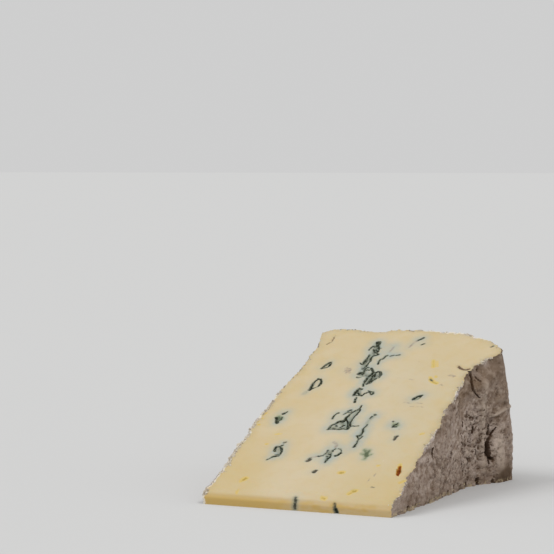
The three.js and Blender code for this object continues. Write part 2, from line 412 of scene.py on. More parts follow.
CUT_MARKS: tuple[Mark, ...] = (
    # The long vein, from the rim inwards
    *LONG_VEIN_CROP.marks(
        Mark(INK, 0.50, ((665, 200), (665, 150), (690, 140), (735, 150), (715, 195), (690, 215))),
        Mark(INK, 0.75, ((690, 160), (700, 270), (690, 320)), 0.6),
        Mark(INK, 0.40, ((660, 205), (600, 225), (560, 255), (535, 290))),
        Mark(INK, 0.50, ((610, 275), (650, 265), (670, 300), (650, 330), (610, 310), (610, 275))),
        Mark(INK, 0.70, ((690, 320), (665, 335), (690, 380), (640, 388), (600, 392)), 0.5),
        Mark(INK, 0.30, ((700, 250), (745, 265))),
        Mark(INK, 0.45, ((540, 380), (490, 440), (440, 500), (395, 545), (365, 522))),
        Mark(INK, 0.60, ((600, 400), (550, 440), (530, 490), (480, 540), (430, 590), (400, 620)), 0.5),
        Mark(INK, 0.50, ((430, 640), (500, 600), (520, 605))),
        Mark(INK, 0.60, ((400, 690), (450, 650), (500, 640), (530, 645)), 0.5),
        Mark(INK, 0.85, ((325, 712), (360, 690), (400, 690)), 0.6),
        Mark(INK, 0.60, ((310, 770), (370, 760), (440, 735), (462, 728)), 0.5),
        Mark(INK, 0.70, ((570, 615), (585, 645), (605, 670)), 0.5),
        Mark(INK, 0.85, ((605, 690), (540, 735), (490, 790), (450, 840)), 0.6),
        Mark(INK, 0.45, ((450, 840), (425, 890), (420, 935))),
        Mark(INK, 0.50, ((620, 740), (640, 695), (690, 672), (735, 700))),
        Mark(INK, 0.95, ((725, 685), (745, 725), (700, 775)), 0.6),
        Mark(INK, 0.50, ((700, 775), (640, 772), (580, 800), (540, 840), (500, 872), (480, 900))),
        Mark(INK, 0.55, ((595, 725), (560, 780), (510, 850)), 0.5),
        Mark(INK, 0.50, ((690, 545), (700, 500), (730, 460), (770, 455))),
        Mark(INK, 0.60, ((770, 455), (820, 405), (865, 390)), 0.5),
        Mark(INK, 0.40, ((910, 405), (970, 385))),
        Mark(INK, 0.35, ((1010, 390), (1075, 380))),
        Mark(INK, 0.60, ((400, 990), (350, 970), (300, 1010), (265, 1060), (245, 1100)), 0.5),
        Mark(INK, 0.65, ((320, 1030), (340, 1050), (350, 1085), (390, 1105)), 0.5),
        Mark(INK, 0.55, ((350, 1095), (300, 1080), (255, 1075))),
        Mark(INK, 0.45, ((390, 1108), (440, 1075), (500, 1052), (540, 1035))),
        Mark(INK, 0.55, ((515, 1020), (560, 1035), (605, 1040), (600, 1070), (565, 1085), (540, 1045))),
    ),
    Mark(INK, 0.65, ((0, 71.6), (0.1, 70.2), (0.4, 68.6)), 0.5),
    # The three-cornered patch at half radius
    *HALF_RADIUS_CROP.marks(
        Mark(INK, 0.45, ((515, 300), (545, 255), (590, 215), (620, 210))),
        Mark(INK, 0.45, ((770, 185), (820, 168))),
        Mark(INK, 0.35, ((700, 232), (760, 205), (850, 195))),
        Mark(INK, 0.50, ((985, 100), (955, 150), (890, 180), (800, 232), (740, 285)), 0.5),
        Mark(INK, 0.60, ((740, 285), (700, 325), (620, 345), (560, 385), (500, 405), (445, 470)), 0.5),
        Mark(INK, 0.60, ((960, 165), (940, 200), (890, 250), (840, 295), (812, 335)), 0.6),
        Mark(INK, 0.85, ((812, 335), (800, 375), (795, 425), (760, 460)), 0.7),
        Mark(INK, 0.60, ((740, 300), (762, 335), (762, 390), (750, 455)), 0.5),
        Mark(INK, 0.55, ((445, 470), (540, 455), (620, 465), (690, 462), (750, 468)), 0.5),
        Mark(INK, 0.40, ((795, 430), (830, 420), (930, 420))),
        Mark(INK, 0.75, ((680, 390), (705, 380)), 0.6),
        Mark(INK, 0.50, ((570, 408), (590, 402))),
        Mark(INK, 0.40, ((640, 420), (670, 400))),
    ),
    # The thin line right of it
    *HALF_RADIUS_CROP.marks(
        Mark(INK, 0.70, ((1200, 245), (1212, 247)), 0.5),
        Mark(INK, 0.25, ((1160, 270), (1120, 310))),
        Mark(INK, 0.35, ((1080, 400), (1040, 440), (1015, 470))),
        Mark(INK, 0.60, ((1015, 470), (1000, 510), (980, 555)), 0.5),
        Mark(INK, 0.55, ((980, 558), (940, 570), (905, 576)), 0.5),
        Mark(INK, 0.40, ((905, 580), (940, 625), (1000, 578))),
        Mark(INK, 0.35, ((935, 625), (900, 690), (862, 740))),
        Mark(INK, 0.50, ((850, 748), (880, 732))),
    ),
    # Grey growth that fills the veins
    Mark(HAZE, 2.2, ((-4, 107.5), (-3.4, 101), (-4.4, 96), (-3.4, 90)), 0.2),
    Mark(HAZE, 2.6, ((-3.6, 88), (-1, 86.6), (0.4, 87)), 0.2),
    Mark(HAZE, 2.6, ((3, 87.4), (1.4, 84), (0.6, 81.5)), 0.2),
    Mark(HAZE, 1.6, ((-0.9, 76.4), (0.6, 74.2), (-0.9, 73.6)), 0.2),
    Mark(HAZE, 1.6, ((-2.6, 52.2), (1, 53.2), (3.3, 53.4)), 0.2),
    Mark(HAZE, 2.2, ((0.2, 55.8), (3.2, 55.4), (2.6, 58.6)), 0.2),
    Mark(HAZE, 1.2, ((2.6, 59.4), (3.7, 63)), 0.2),
    Mark(HAZE, 1.1, ((9.9, 52.6), (9.5, 48.4), (10, 47)), 0.1),
    Mark(HAZE, 0.9, ((11, 61.4), (9.9, 57.7), (10.1, 54)), 0.1),
    Mark(HAZE, 0.9, ((10.1, 45), (10.2, 42)), 0.1, 0.7),
    Mark(HAZE, 1.6, ((2.7, 33), (2.6, 36), (1.8, 38)), 0.2),
    # Leaf shapes and rings on the left
    Mark(SMUT, 0.70, ((-20.5, 89.1), (-19.7, 89.6)), 0.4, 0.2),
    Mark(INK, 0.45, ((-20.4, 89.4), (-19.9, 91.1), (-19.4, 92.2), (-18.7, 93.3), (-18.1, 93.6)), 0.35, 0.2),
    Mark(INK, 0.55, ((-19.6, 89.6), (-18.6, 90.2), (-17.9, 91.2), (-17.9, 92.6), (-18.1, 93.6)), 0.5, 0.2),
    Mark(INK, 0.75, ((-18.3, 91.4), (-18, 92.6)), 0.5, 0.2),
    Mark(INK, 0.95, ((-20, 74.8), (-19.6, 75.8), (-19, 76.4)), 0.6, 0.25),
    Mark(INK, 0.60, ((-20, 75.4), (-20.1, 78), (-19.9, 80.4), (-19.1, 82.2)), 0.5, 0.25),
    Mark(INK, 0.75, ((-19.2, 82.2), (-18.2, 82), (-17.5, 81.1)), 0.5, 0.25),
    Mark(INK, 0.75, ((-17.5, 81.1), (-17, 79.4), (-17.3, 78), (-18.3, 76.8), (-19, 76.3)), 0.5, 0.25),
    Mark(HAZE, 0.80, ((-20.6, 73.4), (-21.2, 72)), 0.1, 0.5, 1.6),
    Mark(INK, 1.20, ((-25.9, 55.7), (-25.1, 54.2), (-24.7, 53.1)), 0.6, 0.5),
    *WHOLE_PHOTO.marks(Mark(INK, 0.90, ((276.6, 422.4), (277.4, 422.4)), 0.6)),
    Mark(GREEN, 1.90, ((-25.2, 56.3), (-24.2, 55.4)), 0.1, 0.6),
    Mark(INK, 0.45, ((-24.4, 54.1), (-23.8, 55), (-24, 56.4))),
    *WHOLE_PHOTO.marks(Mark(INK, 0.85, ((282.8, 413.6), (284.6, 413)))),
    Mark(INK, 0.40, ((-23.8, 59), (-23.1, 59.9))),
    *WHOLE_PHOTO.marks(
        Mark(INK, 0.75, ((274.5, 450.6), (275, 448.6), (276.6, 446.8), (279, 446.4), (281, 447.6)), 0.5),
        Mark(INK, 0.95, ((281, 447.6), (281.6, 449.6), (281, 451.6), (280, 453.5), (278.4, 455.3)), 0.5),
        Mark(INK, 0.75, ((278.4, 455.3), (276, 456), (272.6, 456.9))),
        Mark(INK, 0.50, ((275.3, 454.2), (277, 453.6), (278.8, 453.4))),
        Mark(INK, 0.30, ((272.6, 456.9), (269.5, 458.6), (267, 459.6)), 0.1, 0.2),
        Mark(INK, 0.45, ((280.5, 446), (283, 445.1))),
    ),
    Mark(HAZE, 0.90, ((-17.6, 37), (-17.1, 35.2)), 0.1, 0.8, 1.5),
    *WHOLE_PHOTO.marks(
        Mark(SMUT, 0.60, ((284.2, 442.7), (286, 442.1)), 0.3, 0.3),
        Mark(FAINT, 0.40, ((264.3, 456.4), (266, 456.2)), 0.1, 0.0),
    ),
    # The low group
    Mark(SMUT, 1.50, ((-4.2, 31.6), (-3.7, 32.7)), 0.4, 0.4),
    *WHOLE_PHOTO.marks(
        Mark(FAINT, 0.45, ((312, 456.9), (318, 456), (323, 455.2)), 0.1, 0.4),
        Mark(INK, 0.22, ((318, 455.8), (323, 455.2), (325.5, 453)), 0.2),
        Mark(INK, 0.50, ((325, 462), (326.3, 459.8))),
        Mark(INK, 0.85, ((326.3, 459.8), (327.4, 458), (329.6, 456.6)), 0.5),
        Mark(INK, 0.55, ((329.6, 456.6), (330.6, 454.6), (330.2, 453))),
        Mark(INK, 0.55, ((326.6, 455.8), (327.2, 455))),
        Mark(INK, 0.50, ((328.4, 452.6), (331, 452.4))),
        Mark(INK, 0.35, ((325, 453.6), (326.5, 451.5), (327.6, 449.8))),
        Mark(INK, 0.50, ((332.4, 451), (332.8, 449.8))),
        Mark(INK, 0.35, ((334.2, 448.8), (335.6, 448.2))),
        Mark(INK, 0.85, ((335.4, 455.2), (338, 454.1), (340.4, 452.4)), 0.5),
        Mark(INK, 0.24, ((340.4, 452.4), (341.4, 450.2), (340.8, 448.6), (338.8, 448.2))),
    ),
    Mark(SMUT, 1.10, ((0.6, 25.1), (1, 26)), 0.4, 0.3),
    # Green growth on the right
    *WHOLE_PHOTO.marks(
        Mark(SMUT, 0.70, ((393.2, 422.2), (393.8, 422)), 0.3, 0.5),
        Mark(INK, 0.45, ((393, 426.2), (395.5, 425.2), (398, 423.6))),
        Mark(INK, 0.55, ((392.6, 427.4), (396, 427.2))),
        Mark(GREEN, 1.40, ((394.5, 424.6), (397.5, 425.4)), 0.1, 0.6),
        Mark(FAINT, 0.50, ((398.6, 429.5), (399.4, 429.4)), 0.1, 0.2),
    ),
    Mark(SMUT, 0.95, ((23.1, 47.9), (23.2, 49.3), (23.5, 50)), 0.4, 0.4),
    *LONG_VEIN_CROP.marks(
        Mark(INK, 0.60, ((1310, 1165), (1350, 1130), (1400, 1100), (1480, 1085)), 0.5, 0.5),
        Mark(INK, 0.45, ((1310, 1165), (1370, 1160), (1440, 1120), (1480, 1085)), 0.5, 0.5),
    ),
    Mark(INK, 0.55, ((10.8, 112.6), (11.5, 113.2), (12.4, 114.6))),
    *LONG_VEIN_CROP.marks(Mark(INK, 0.35, ((1465, 200), (1530, 175)), 0.3, 0.4)),
    Mark(GREEN, 2.30, ((16.2, 37.4), (15.7, 38.6)), 0.2, 0.2),
    *HALF_RADIUS_CROP.marks(
        *(
            Mark(GREEN, width, ((1065, 885), end), 0.1, 0.2)
            for width, end in (
                (1.10, (1030, 790)), (1.00, (1065, 800)), (1.10, (1112, 800)),
                (0.80, (980, 850)), (0.80, (1140, 862)), (0.90, (1020, 935)),
            )
        ),
    ),
    # Faint rings, smears and hair lines
    *WHOLE_PHOTO.marks(
        Mark(FAINT, 1.00, ((333.2, 442.3), (333.9, 442)), 0.1, 0.3),
        Mark(FAINT, 0.85, ((336.2, 442.8), (337, 444), (336.6, 445.8), (335.4, 446.6)), 0.1, 0.3),
    ),
    Mark(FAINT, 0.60, ((-11.2, 89.4), (-10.4, 90.9), (-8.7, 90.1), (-8.2, 87.3)), 0.1, 0.1),
    Mark(FAINT, 0.60, ((-8.2, 87.3), (-9.9, 86.8), (-11.2, 89.4)), 0.1, 0.1),
    Mark(FAINT, 0.80, ((-9.5, 88.8), (-9.1, 88.4)), 0.2, 0.1),
    Mark(FAINT, 0.80, ((8.9, 107.1), (9.4, 109.2), (9.9, 111), (10.8, 112.6)), 0.2, 0.5, 2.2),
    *LONG_VEIN_CROP.marks(Mark(FAINT, 0.70, ((905, 330), (940, 280), (975, 230)), 0.1, 0.9, 3.2)),
    *WHOLE_PHOTO.marks(Mark(FAINT, 1.20, ((449.4, 375.2), (454, 376.2)), 0.1, 0.0)),
    *UPPER_CROP.marks(
        *(
            Mark(FAINT, 0.25, hair, 0.1, 0.0)
            for hair in (
                ((645, 375), (705, 378)), ((690, 545), (860, 548)), ((770, 570), (860, 572)),
                ((760, 380), (800, 382)), ((815, 262), (845, 264)),
            )
        ),
    ),
    # Small wet pits
    Mark(PIT, 1.2, ((20.9, 100), (22.2, 96)), 0.25, 0.0),
    Mark(PIT, 0.5, ((22.6, 99.6), (23.6, 96.4)), 0.1, 0.0),
    Mark(PIT, 1.6, ((23.9, 87.4), (25.2, 86.2), (26.8, 85.5)), 0.25, 0.0),
    Mark(PIT, 1.1, ((23.2, 89), (24, 88.2)), 0.25, 0.0),
    Mark(PIT, 0.8, ((25, 90), (25.4, 89.4)), 0.2, 0.0),
    Mark(SMUT, 0.7, ((23.8, 87.7), (24.2, 87.2)), 0.3, 0.0),
    Mark(FAINT, 0.5, ((28.6, 84.6), (29.6, 84.2)), 0.1, 0.0),
    *UPPER_CROP.marks(Mark(SMUT, 0.4, ((1336, 160), (1356, 152)), 0.3, 0.0)),
    Mark(PIT, 2.2, ((-23.6, 17.8), (-23.1, 18.5)), 0.25, 0.0),
    Mark(PIT, 1.1, ((-24.1, 16.6), (-23.9, 17.2)), 0.25, 0.0),
    *WHOLE_PHOTO.marks(Mark(PIT, 0.7, ((236.2, 491.8), (237.6, 490)), 0.3, 0.0)),
    Mark(PIT, 2.0, ((10.3, 26.2), (11.1, 26.4)), 0.25, 0.0),
    Mark(PIT, 1.5, ((18, 14), (18.6, 15)), 0.25, 0.0),
    Mark(PIT, 1.9, ((19, 15.7), (19.7, 16.2)), 0.25, 0.0),
    Mark(GREEN, 0.9, ((19.1, 16), (19.6, 16.2)), 0.2, 0.0),
    Mark(PIT, 1.4, ((9.2, 11.1), (10.3, 10.9)), 0.25, 0.0),
    Mark(PIT, 0.8, ((22.4, 31.8), (22.8, 32)), 0.2, 0.0),
    *WHOLE_PHOTO.marks(
        Mark(PIT, 1.0, ((400, 482.6), (403.6, 480.8)), 0.3, 0.0),
        Mark(FAINT, 0.3, ((375.4, 471.6), (373.6, 476.4)), 0.1, 0.0),
        Mark(FAINT, 0.25, ((368.8, 478.6), (367.2, 484.8)), 0.1, 0.0),
        Mark(SMUT, 0.3, ((371.4, 487), (373.6, 487.2)), 0.1, 0.0),
        Mark(PIT, 0.6, ((266, 444), (267.5, 443.8)), 0.2, 0.0),
        Mark(PIT, 0.5, ((275.5, 434), (281, 433.6)), 0.1, 0.0),
        Mark(PIT, 0.7, ((265.5, 413.2), (266.5, 413)), 0.3, 0.0),
        Mark(PIT, 0.6, ((263.5, 414.6), (264, 414.4)), 0.3, 0.0),
        Mark(PIT, 0.5, ((262, 418.4), (262.5, 418.4)), 0.3, 0.0),
        Mark(PIT, 0.6, ((257.5, 421.3), (258, 421.3)), 0.3, 0.0),
        Mark(PIT, 0.7, ((258.2, 424.3), (259.2, 424.2)), 0.3, 0.0),
    ),
    Mark(PIT, 0.6, ((31.5, 52), (32.5, 53)), 0.3, 0.0),
    Mark(PIT, 1.3, ((30.3, 33.4), (30.7, 31.6)), 0.25, 0.0),
    Mark(AMBER, 0.8, ((30.4, 32.4), (31.5, 27.2)), 0.9, 0.0),
    Mark(AMBER, 1.3, ((30.8, 30.6), (31.3, 28.4)), 1.5, 0.0),
    # Creases near the rind
    *UPPER_CROP.marks(Mark(BROWN, 0.65, ((190, 135), (225, 115), (248, 70)), 0.4, 0.0)),
    Mark(BROWN, 1.3, ((31.6, 97.8), (32.6, 97)), 0.8, 0.0),
    Mark(BROWN, 1.0, ((32.6, 97), (34, 96), (36, 97)), 0.5, 0.0),
    # The end of the front face's vein
    Mark(SMUT, 0.6, ((-0.4, 8.4), (-0.6, 10.4)), 0.2, 0.1),
    Mark(HAZE, 1.8, ((-0.4, 8.4), (-0.6, 10)), 0.1, 0.15),
)

TIP_MARKS: tuple[Mark, ...] = (
    Mark(SMUT, 0.8, ((-0.4, 0.9), (-0.3, 4.4)), 0.3, 0.25, 1.6),
    Mark(HAZE, 2.2, ((-0.4, 0.6), (-0.3, 4.4)), 0.1, 0.25, 1.6),
    Mark(SMUT, 0.8, ((14.3, 3.1), (14.6, 1.6)), 0.7, 0.0),
    Mark(SMUT, 1.5, ((14.8, 1.3), (15.2, 0.3)), 1.0, 0.0),
    Mark(INK, 0.7, ((14.7, 1.4), (15.1, 0.4)), 1.0, 0.0),
)

CUT_OPENINGS: tuple[Opening, ...] = (
    Opening(-4, 105, 9, 2.6, -8, 0.5),
    Opening(-4, 95, 10, 3, 5, 0.5),
    Opening(-3, 87, 6, 3, 30, 0.6),
    Opening(2, 85, 9, 4, 12, 0.6),
    Opening(-0.5, 75, 5, 3, 0, 0.5),
    Opening(1, 56, 13, 4.5, 25, 0.6),
    Opening(-19, 78, 8, 2.6, 16, 0.35),
    Opening(-19, 91.5, 5, 2, 28, 0.3),
    Opening(-17, 36, 7, 3.4, 18, 0.4),
    Opening(2, 37, 5, 2, 0, 0.4),
    Opening(23, 75, 4, 1.6, 30, 0.4),
)

RIND_CLEFTS: tuple[Cleft, ...] = (
    # The deep fissure near the rim, its fork and the soft valley beside it
    Cleft(((92.7, 22.4), (92.8, 20.8), (93.3, 18.8)), 0.7, 1.4),
    Cleft(((96.4, 20.9), (95.2, 19.6), (94.3, 18.2), (93.7, 17)), 0.8, 1.6),
    Cleft(((93.8, 17.2), (93.3, 16), (93.2, 14.6)), 1.3, 2.6),
    Cleft(((93.2, 15), (93.5, 13), (93.9, 11.2)), 2.2, 3.6),
    Cleft(((94, 11.2), (94.4, 9.8), (95.8, 9.2)), 1.3, 2.2),
    Cleft(((93.7, 10), (94.3, 7.8)), 0.8, 1.1),
    Cleft(((92.4, 18.6), (91.9, 15.5), (92.1, 11.8)), 3.0, 0.6),
    # The upper fissure and the small splits beside it
    Cleft(((82.8, 42.8), (83.4, 40.6), (82.8, 38.4), (82.6, 36.4)), 0.9, 1.8),
    Cleft(((82.6, 36.4), (84.4, 34.7), (86.4, 33.2)), 0.5, 0.9),
    Cleft(((85.2, 40.2), (86.2, 39)), 0.7, 0.9),
    Cleft(((87, 43), (86.9, 42)), 0.8, 1.0),
    # The groove in the smooth part, and single holes
    Cleft(((45.3, 19), (46.1, 15.6), (46.5, 12), (46.5, 8.6)), 0.9, 0.75),
    Cleft(((45.4, 19), (45.3, 17)), 1.6, 1.4, 0.55),
    Cleft(((77, 25), (77.3, 23.4)), 1.1, 1.3, 0.55),
    Cleft(((76.9, 19.6), (77, 16.4)), 1.3, 1.6, 0.55),
    Cleft(((85.2, 22), (84.5, 20.4)), 1.2, 1.5, 0.55),
    Cleft(((64.2, 15.2), (64.8, 13.4)), 1.1, 1.1, 0.55),
    Cleft(((75.6, 10.8), (75.8, 9.4)), 1.0, 1.1, 0.55),
    Cleft(((82.6, 10.6), (83, 9.6)), 1.1, 1.2, 0.55),
    Cleft(((87.4, 13.4), (87.6, 11.6)), 0.9, 1.0, 0.55),
    # Gaps in the edge that the wedge rests on
    Cleft(((67.3, 2.4), (67.3, -1)), 1.5, 1.9),
    Cleft(((30.4, 1.2), (30.6, -1)), 1.1, 0.8),
    Cleft(((41, 1.0), (41.3, -1)), 1.2, 0.9),
    Cleft(((61.2, 1.6), (61.5, -1)), 1.2, 1.0),
    Cleft(((75.5, 1.4), (75.2, -1)), 1.4, 1.2),
    Cleft(((81.8, 1.8), (82, -1)), 1.2, 1.2),
    Cleft(((96, 1.2), (96.4, -1)), 1.3, 1.0),
    Cleft(((88.5, 2.2), (88.9, -1)), 2.0, 2.0),
    Cleft(((55.1, 1.8), (55.4, -1)), 1.3, 1.3),
    Cleft(((22.8, 1.4), (23, -1)), 1.3, 1.0),
    # Ledges across the part next to the rim, the ridge before the fissure and the bulge behind it
    Cleft(((92.6, 31.5), (97.7, 31.5), (104, 30.8)), 1.6, -0.3),
    Cleft(((92.6, 26.1), (96, 26.5), (99, 27.4), (104, 28.4)), 1.5, -0.8),
    Cleft(((88, 38), (88.6, 29.5), (90, 22), (90.5, 15), (91.6, 5.5)), 2.4, -0.9),
    Cleft(((98.6, 16), (99.2, 10), (100.5, 4)), 5.0, -0.8),
)

# Broad painted shade and painted light on the right rind, where it swells and sinks; the strongest dark one
# is a painted shadow at the low right corner, where the rind turns away over the floor
RIND_TONES: tuple[Tone, ...] = (
    Tone(61.0, 24.7, 5.0, 4.0, -0.45),
    Tone(53.0, 12.5, 8.0, 5.0, -0.45),
    Tone(91.5, 24.8, 4.5, 3.5, -0.50),
    Tone(82.0, 36.0, 3.5, 4.5, -0.45),
    Tone(44.6, 2.3, 4.0, 2.5, -0.50),
    Tone(104.0, 16.0, 2.5, 9.0, -0.35),
    Tone(102.0, 28.0, 4.0, 5.0, -0.35),
    Tone(44.4, 19.5, 2.6, 2.4, 0.45),
    Tone(84.5, 41.4, 3.0, 2.0, 0.45),
    Tone(81.3, 9.5, 6.0, 5.5, 0.35),
    Tone(98.5, 13.0, 3.0, 6.0, 0.25),
    Tone(89.5, 45.4, 2.6, 2.2, 0.50),
    Tone(12.0, 2.5, 7.0, 3.5, 0.55),
    # Painted shadow at the low right corner, where the rind turns away over the floor
    Tone(102.5, 2.0, 5.5, 4.6, -1.40),
    Tone(99.0, 42.0, 4.0, 6.0, 0.30),
    Tone(90.0, 17.0, 2.2, 6.0, -0.35),
    Tone(99.5, 31.0, 4.0, 2.0, -0.40),
)

# White mould on the upper cut's right edge: its middle along y of the wheel, its reach and its strength
WHITE_SPOTS: tuple[Lengths, ...] = (
    (91.5, 2.0, 0.60),
    (72.0, 4.5, 0.75),
    (60.0, 3.5, 0.35),
    (47.0, 4.0, 0.60),
    (40.0, 3.0, 0.50),
    (16.0, 7.0, 0.50),
)

# The middle of the pale spot under the upper cut's right edge, in the wheel
LILAC_SPOT: Lengths = (43.2, 88.7, 45.8)


@dataclass(frozen=True)
class RindRelief:
    """How the rind swells, creases, cracks and crumbles, in millimetres."""

    swell: float = 0.8
    swell_length: float = 17.0
    crease: float = 0.4
    crease_width: float = 4.6
    crease_length: float = 11.0
    crag: float = 0.75
    crag_lengths: Lengths = (1.9, 3.0, 1.8)
    pit: float = 0.8
    pit_lengths: Lengths = (1.7, 2.6, 1.5)
    pit_share: float = 0.4
    pit_wall: Point = (0.05, 0.42)
    pit_jumble: float = 7.0
    pit_shade: float = 0.9
    crag_step: Point = (0.1, 0.6)
    patchy: Point = (0.75, 0.5)
    patchy_length: float = 11.0
    rough_middle: Point = (78.0, 17.0)
    rough_reach: Point = (24.0, 17.0)
    right_rough: float = 0.42
    left_rough: float = 0.28
    rim_rough: float = 0.6
    jag: float = 0.6
    plain_jag: float = 0.3
    jag_length: float = 4.6
    jag_reach: float = 3.2
    rag: float = 0.6
    rag_length: float = 1.4
    rag_reach: float = 1.4
    cleft_wander: float = 0.3
    wander_lengths: Lengths = (2.2, 2.2, 3.0)
    fray_length: float = 0.9
    cleft_wall: Point = (0.25, 0.5)
    ledge_wall: Point = (0.0, 0.9)
    cleft_shade: Point = (0.35, 0.7)
    shade_depth: Point = (0.2, 1.3)
    ledge_crest: float = 0.8
    dent_middle: Lengths = (45.5, 105.0, 30.0)
    dent_reach: float = 9.0
    dent_depth: float = 0.8
    inset_depth: float = 6.0
    right_insets: tuple[Point, ...] = (
        (20, 0.2), (26, 0.9), (32, 0.5), (37, 0.7), (50, -0.4), (58, 0.1), (64, 0.6), (69, 1.9),
        (74, 0.3), (78, -0.7), (86, 0.3), (89, 2.2), (93, 4.0), (96.5, 5.8), (99, 4.0), (103, 4.4),
        (106, 2.4), (109, 0.8), (112, 0.0),
    )
    left_insets: tuple[Point, ...] = (
        (9, -0.9), (14, -0.6), (20, 0.2), (38, 0.6), (45, 1.6), (54, 0.1), (66, 0.7), (86, 2.1),
        (97, 1.5), (105, 2.0), (109, 0.3), (113, -1.0),
    )
    rim_insets: tuple[Point, ...] = (
        (-28, -1.8), (-24, -1.4), (-17, 0.0), (-12.7, 2.1), (-7.4, 2.4), (-4.1, 1.7), (1.3, 0.3), (6, 0.0),
        (15, -0.8), (22, -0.8), (32, 0.2),
    )
    rack_pitch: float = 20.0
    rack_width: float = 1.6
    rack_core: float = 0.3
    rack_rise: float = 0.35
    rack_turn: float = math.radians(64.0)

    def shape(
        self, points: Array, to_rim: Array, to_right: Array, edge: Array, below: Array
    ) -> dict[str, Array]:
        """Works out the relief at points of the rind.

        Args:
            points: Rows of x, y, z in the wheel, before the relief.
            to_rim: 0 on the left face, 1 from the rim on.
            to_right: 0 up to the rim, 1 on the right face.
            edge: Distance of each point from the nearest cut.
            below: Distance of each point from the upper cut.

        Returns:
            "height" in millimetres, "craggy", "hollow", "crest" and "rack" from 0 to 1, and "tone",
            which is above 0 where the rind is pale and below 0 where it is dark. "hollow" is painted shade
            in pits, low crags and clefts, "crest" a painted highlight on high crags and ledges, "tone"
            broad painted shade and light.
        """
        crags = crags_at(points, self.crag_lengths, 3, seed=9.1)
        craggy = self._roughness(points, to_rim, to_right)
        pits = self._pits(points) * craggy
        creases = (self.crease_width, self.crease_width, self.crease_length)
        height = self.swell * noise_at(points, self.swell_length)
        height += self.crease * noise_at(points, creases, seed=3.7)
        height += self.crag * craggy * crags - self.pit * pits
        jag = crags_at(points, self.jag_length, 2, seed=8.8)
        jag *= self.plain_jag + (self.jag - self.plain_jag) * to_right
        height += jag * np.exp(-((edge / self.jag_reach) ** 2))
        rag = crags_at(points, self.rag_length, 3, seed=4.4)
        height += self.rag * rag * np.exp(-((edge / self.rag_reach) ** 2))
        # Painted shade in the pits and low crags, and a painted highlight on the high crags
        hollow = np.clip(self.pit_shade * pits + craggy * smooth_step(-crags, *self.crag_step), 0.0, 1.0)
        crest = craggy * smooth_step(crags, *self.crag_step)
        height -= self._insets(points, to_rim, to_right) * (1.0 - smooth_step(below, 0.0, self.inset_depth))
        from_dent = np.linalg.norm(points - np.array(self.dent_middle), axis=1)
        height -= self.dent_depth * np.exp(-((from_dent / self.dent_reach) ** 2))
        self._cleave(points, to_right, height, hollow, crest)
        across = points[:, 1:] @ np.array((math.cos(self.rack_turn), math.sin(self.rack_turn)))
        offset = np.abs((across / self.rack_pitch + 0.5) % 1.0 - 0.5) * self.rack_pitch
        core = self.rack_core * self.rack_width
        rack = (1.0 - to_rim) * (1.0 - smooth_step(offset, core, self.rack_width))
        height += self.rack_rise * rack
        # Painted shade and painted light from the broad tones
        tone = np.zeros(len(points))
        for area in RIND_TONES:
            along, up = points[:, 1] - area.y, points[:, 2] - area.z
            away = (along / area.reach_y) ** 2 + (up / area.reach_z) ** 2
            tone += area.strength * np.exp(-away) * to_right
        return {
            "height": height, "craggy": craggy, "hollow": hollow, "crest": crest, "rack": rack, "tone": tone
        }

    def _cleave(self, points: Array, to_right: Array, height: Array, hollow: Array, crest: Array) -> None:
        """Cuts the clefts into the relief, with painted shade in them, and raises the ledges, with a
        painted highlight on them.

        Args:
            points: Rows of x, y, z in the wheel.
            to_right: 0 up to the rim, 1 on the right face.
            height: The relief in millimetres, changed in place.
            hollow: How much painted shade each point gets where it is sunken, from 0 to 1, changed in
                place.
            crest: How much painted highlight each point gets where it stands out, from 0 to 1, changed in
                place.
        """
        wander = self.cleft_wander * shifts_at(points, self.wander_lengths, (21.0, 33.0))
        frayed = shifts_at(points, self.fray_length, (45.0, 57.0))
        near, far = self.cleft_shade
        for cleft in RIND_CLEFTS:
            gap = distance_to_path(points[:, 1:] + wander + cleft.fray * frayed, cleft.path)
            inner, outer = self.cleft_wall if cleft.depth > 0 else self.ledge_wall
            bite = to_right * (1.0 - smooth_step(gap, inner * cleft.width, outer * cleft.width))
            height -= cleft.depth * bite
            if cleft.depth > 0:
                shade = 1.0 - smooth_step(gap, near * cleft.width, far * cleft.width)
                shade = to_right * shade * smooth_step(cleft.depth, *self.shade_depth)
                np.maximum(hollow, shade, out=hollow)
            else:
                np.maximum(crest, min(self.ledge_crest, -cleft.depth) * bite, out=crest)

    def _roughness(self, points: Array, to_rim: Array, to_right: Array) -> Array:
        """Tells how craggy the rind is: most in the middle of the right face.

        Args:
            points: Rows of x, y, z in the wheel.
            to_rim: 0 on the left face, 1 from the rim on.
            to_right: 0 up to the rim, 1 on the right face.

        Returns:
            Numbers from 0 to 1.
        """
        away = (points[:, 1:] - np.array(self.rough_middle)) / np.array(self.rough_reach)
        right = self.right_rough + (1.0 - self.right_rough) * np.exp(-(away**2).sum(axis=1))
        elsewhere = self.left_rough + (self.rim_rough - self.left_rough) * to_rim
        middle, swing = self.patchy
        patchy = middle + swing * noise_at(points, self.patchy_length, seed=6.1)
        return np.clip((elsewhere + (right - elsewhere) * to_right) * patchy, 0.0, 1.0)

    def _pits(self, points: Array) -> Array:
        """Scatters small holes, one to a cell in some of the cells.

        Args:
            points: Rows of x, y, z in the wheel.

        Returns:
            Numbers from 0 outside the holes to 1 in their middles.
        """
        scaled = points / np.array(self.pit_lengths)
        cells = [noise.voronoi(Vector(row)) for row in scaled]
        gap = np.array([found[0][0] for found in cells])
        drawn = [noise.cell(found[1][0] * self.pit_jumble) * 0.5 + 0.5 for found in cells]
        chosen = np.array(drawn) < self.pit_share
        return chosen * (1.0 - smooth_step(gap, *self.pit_wall))

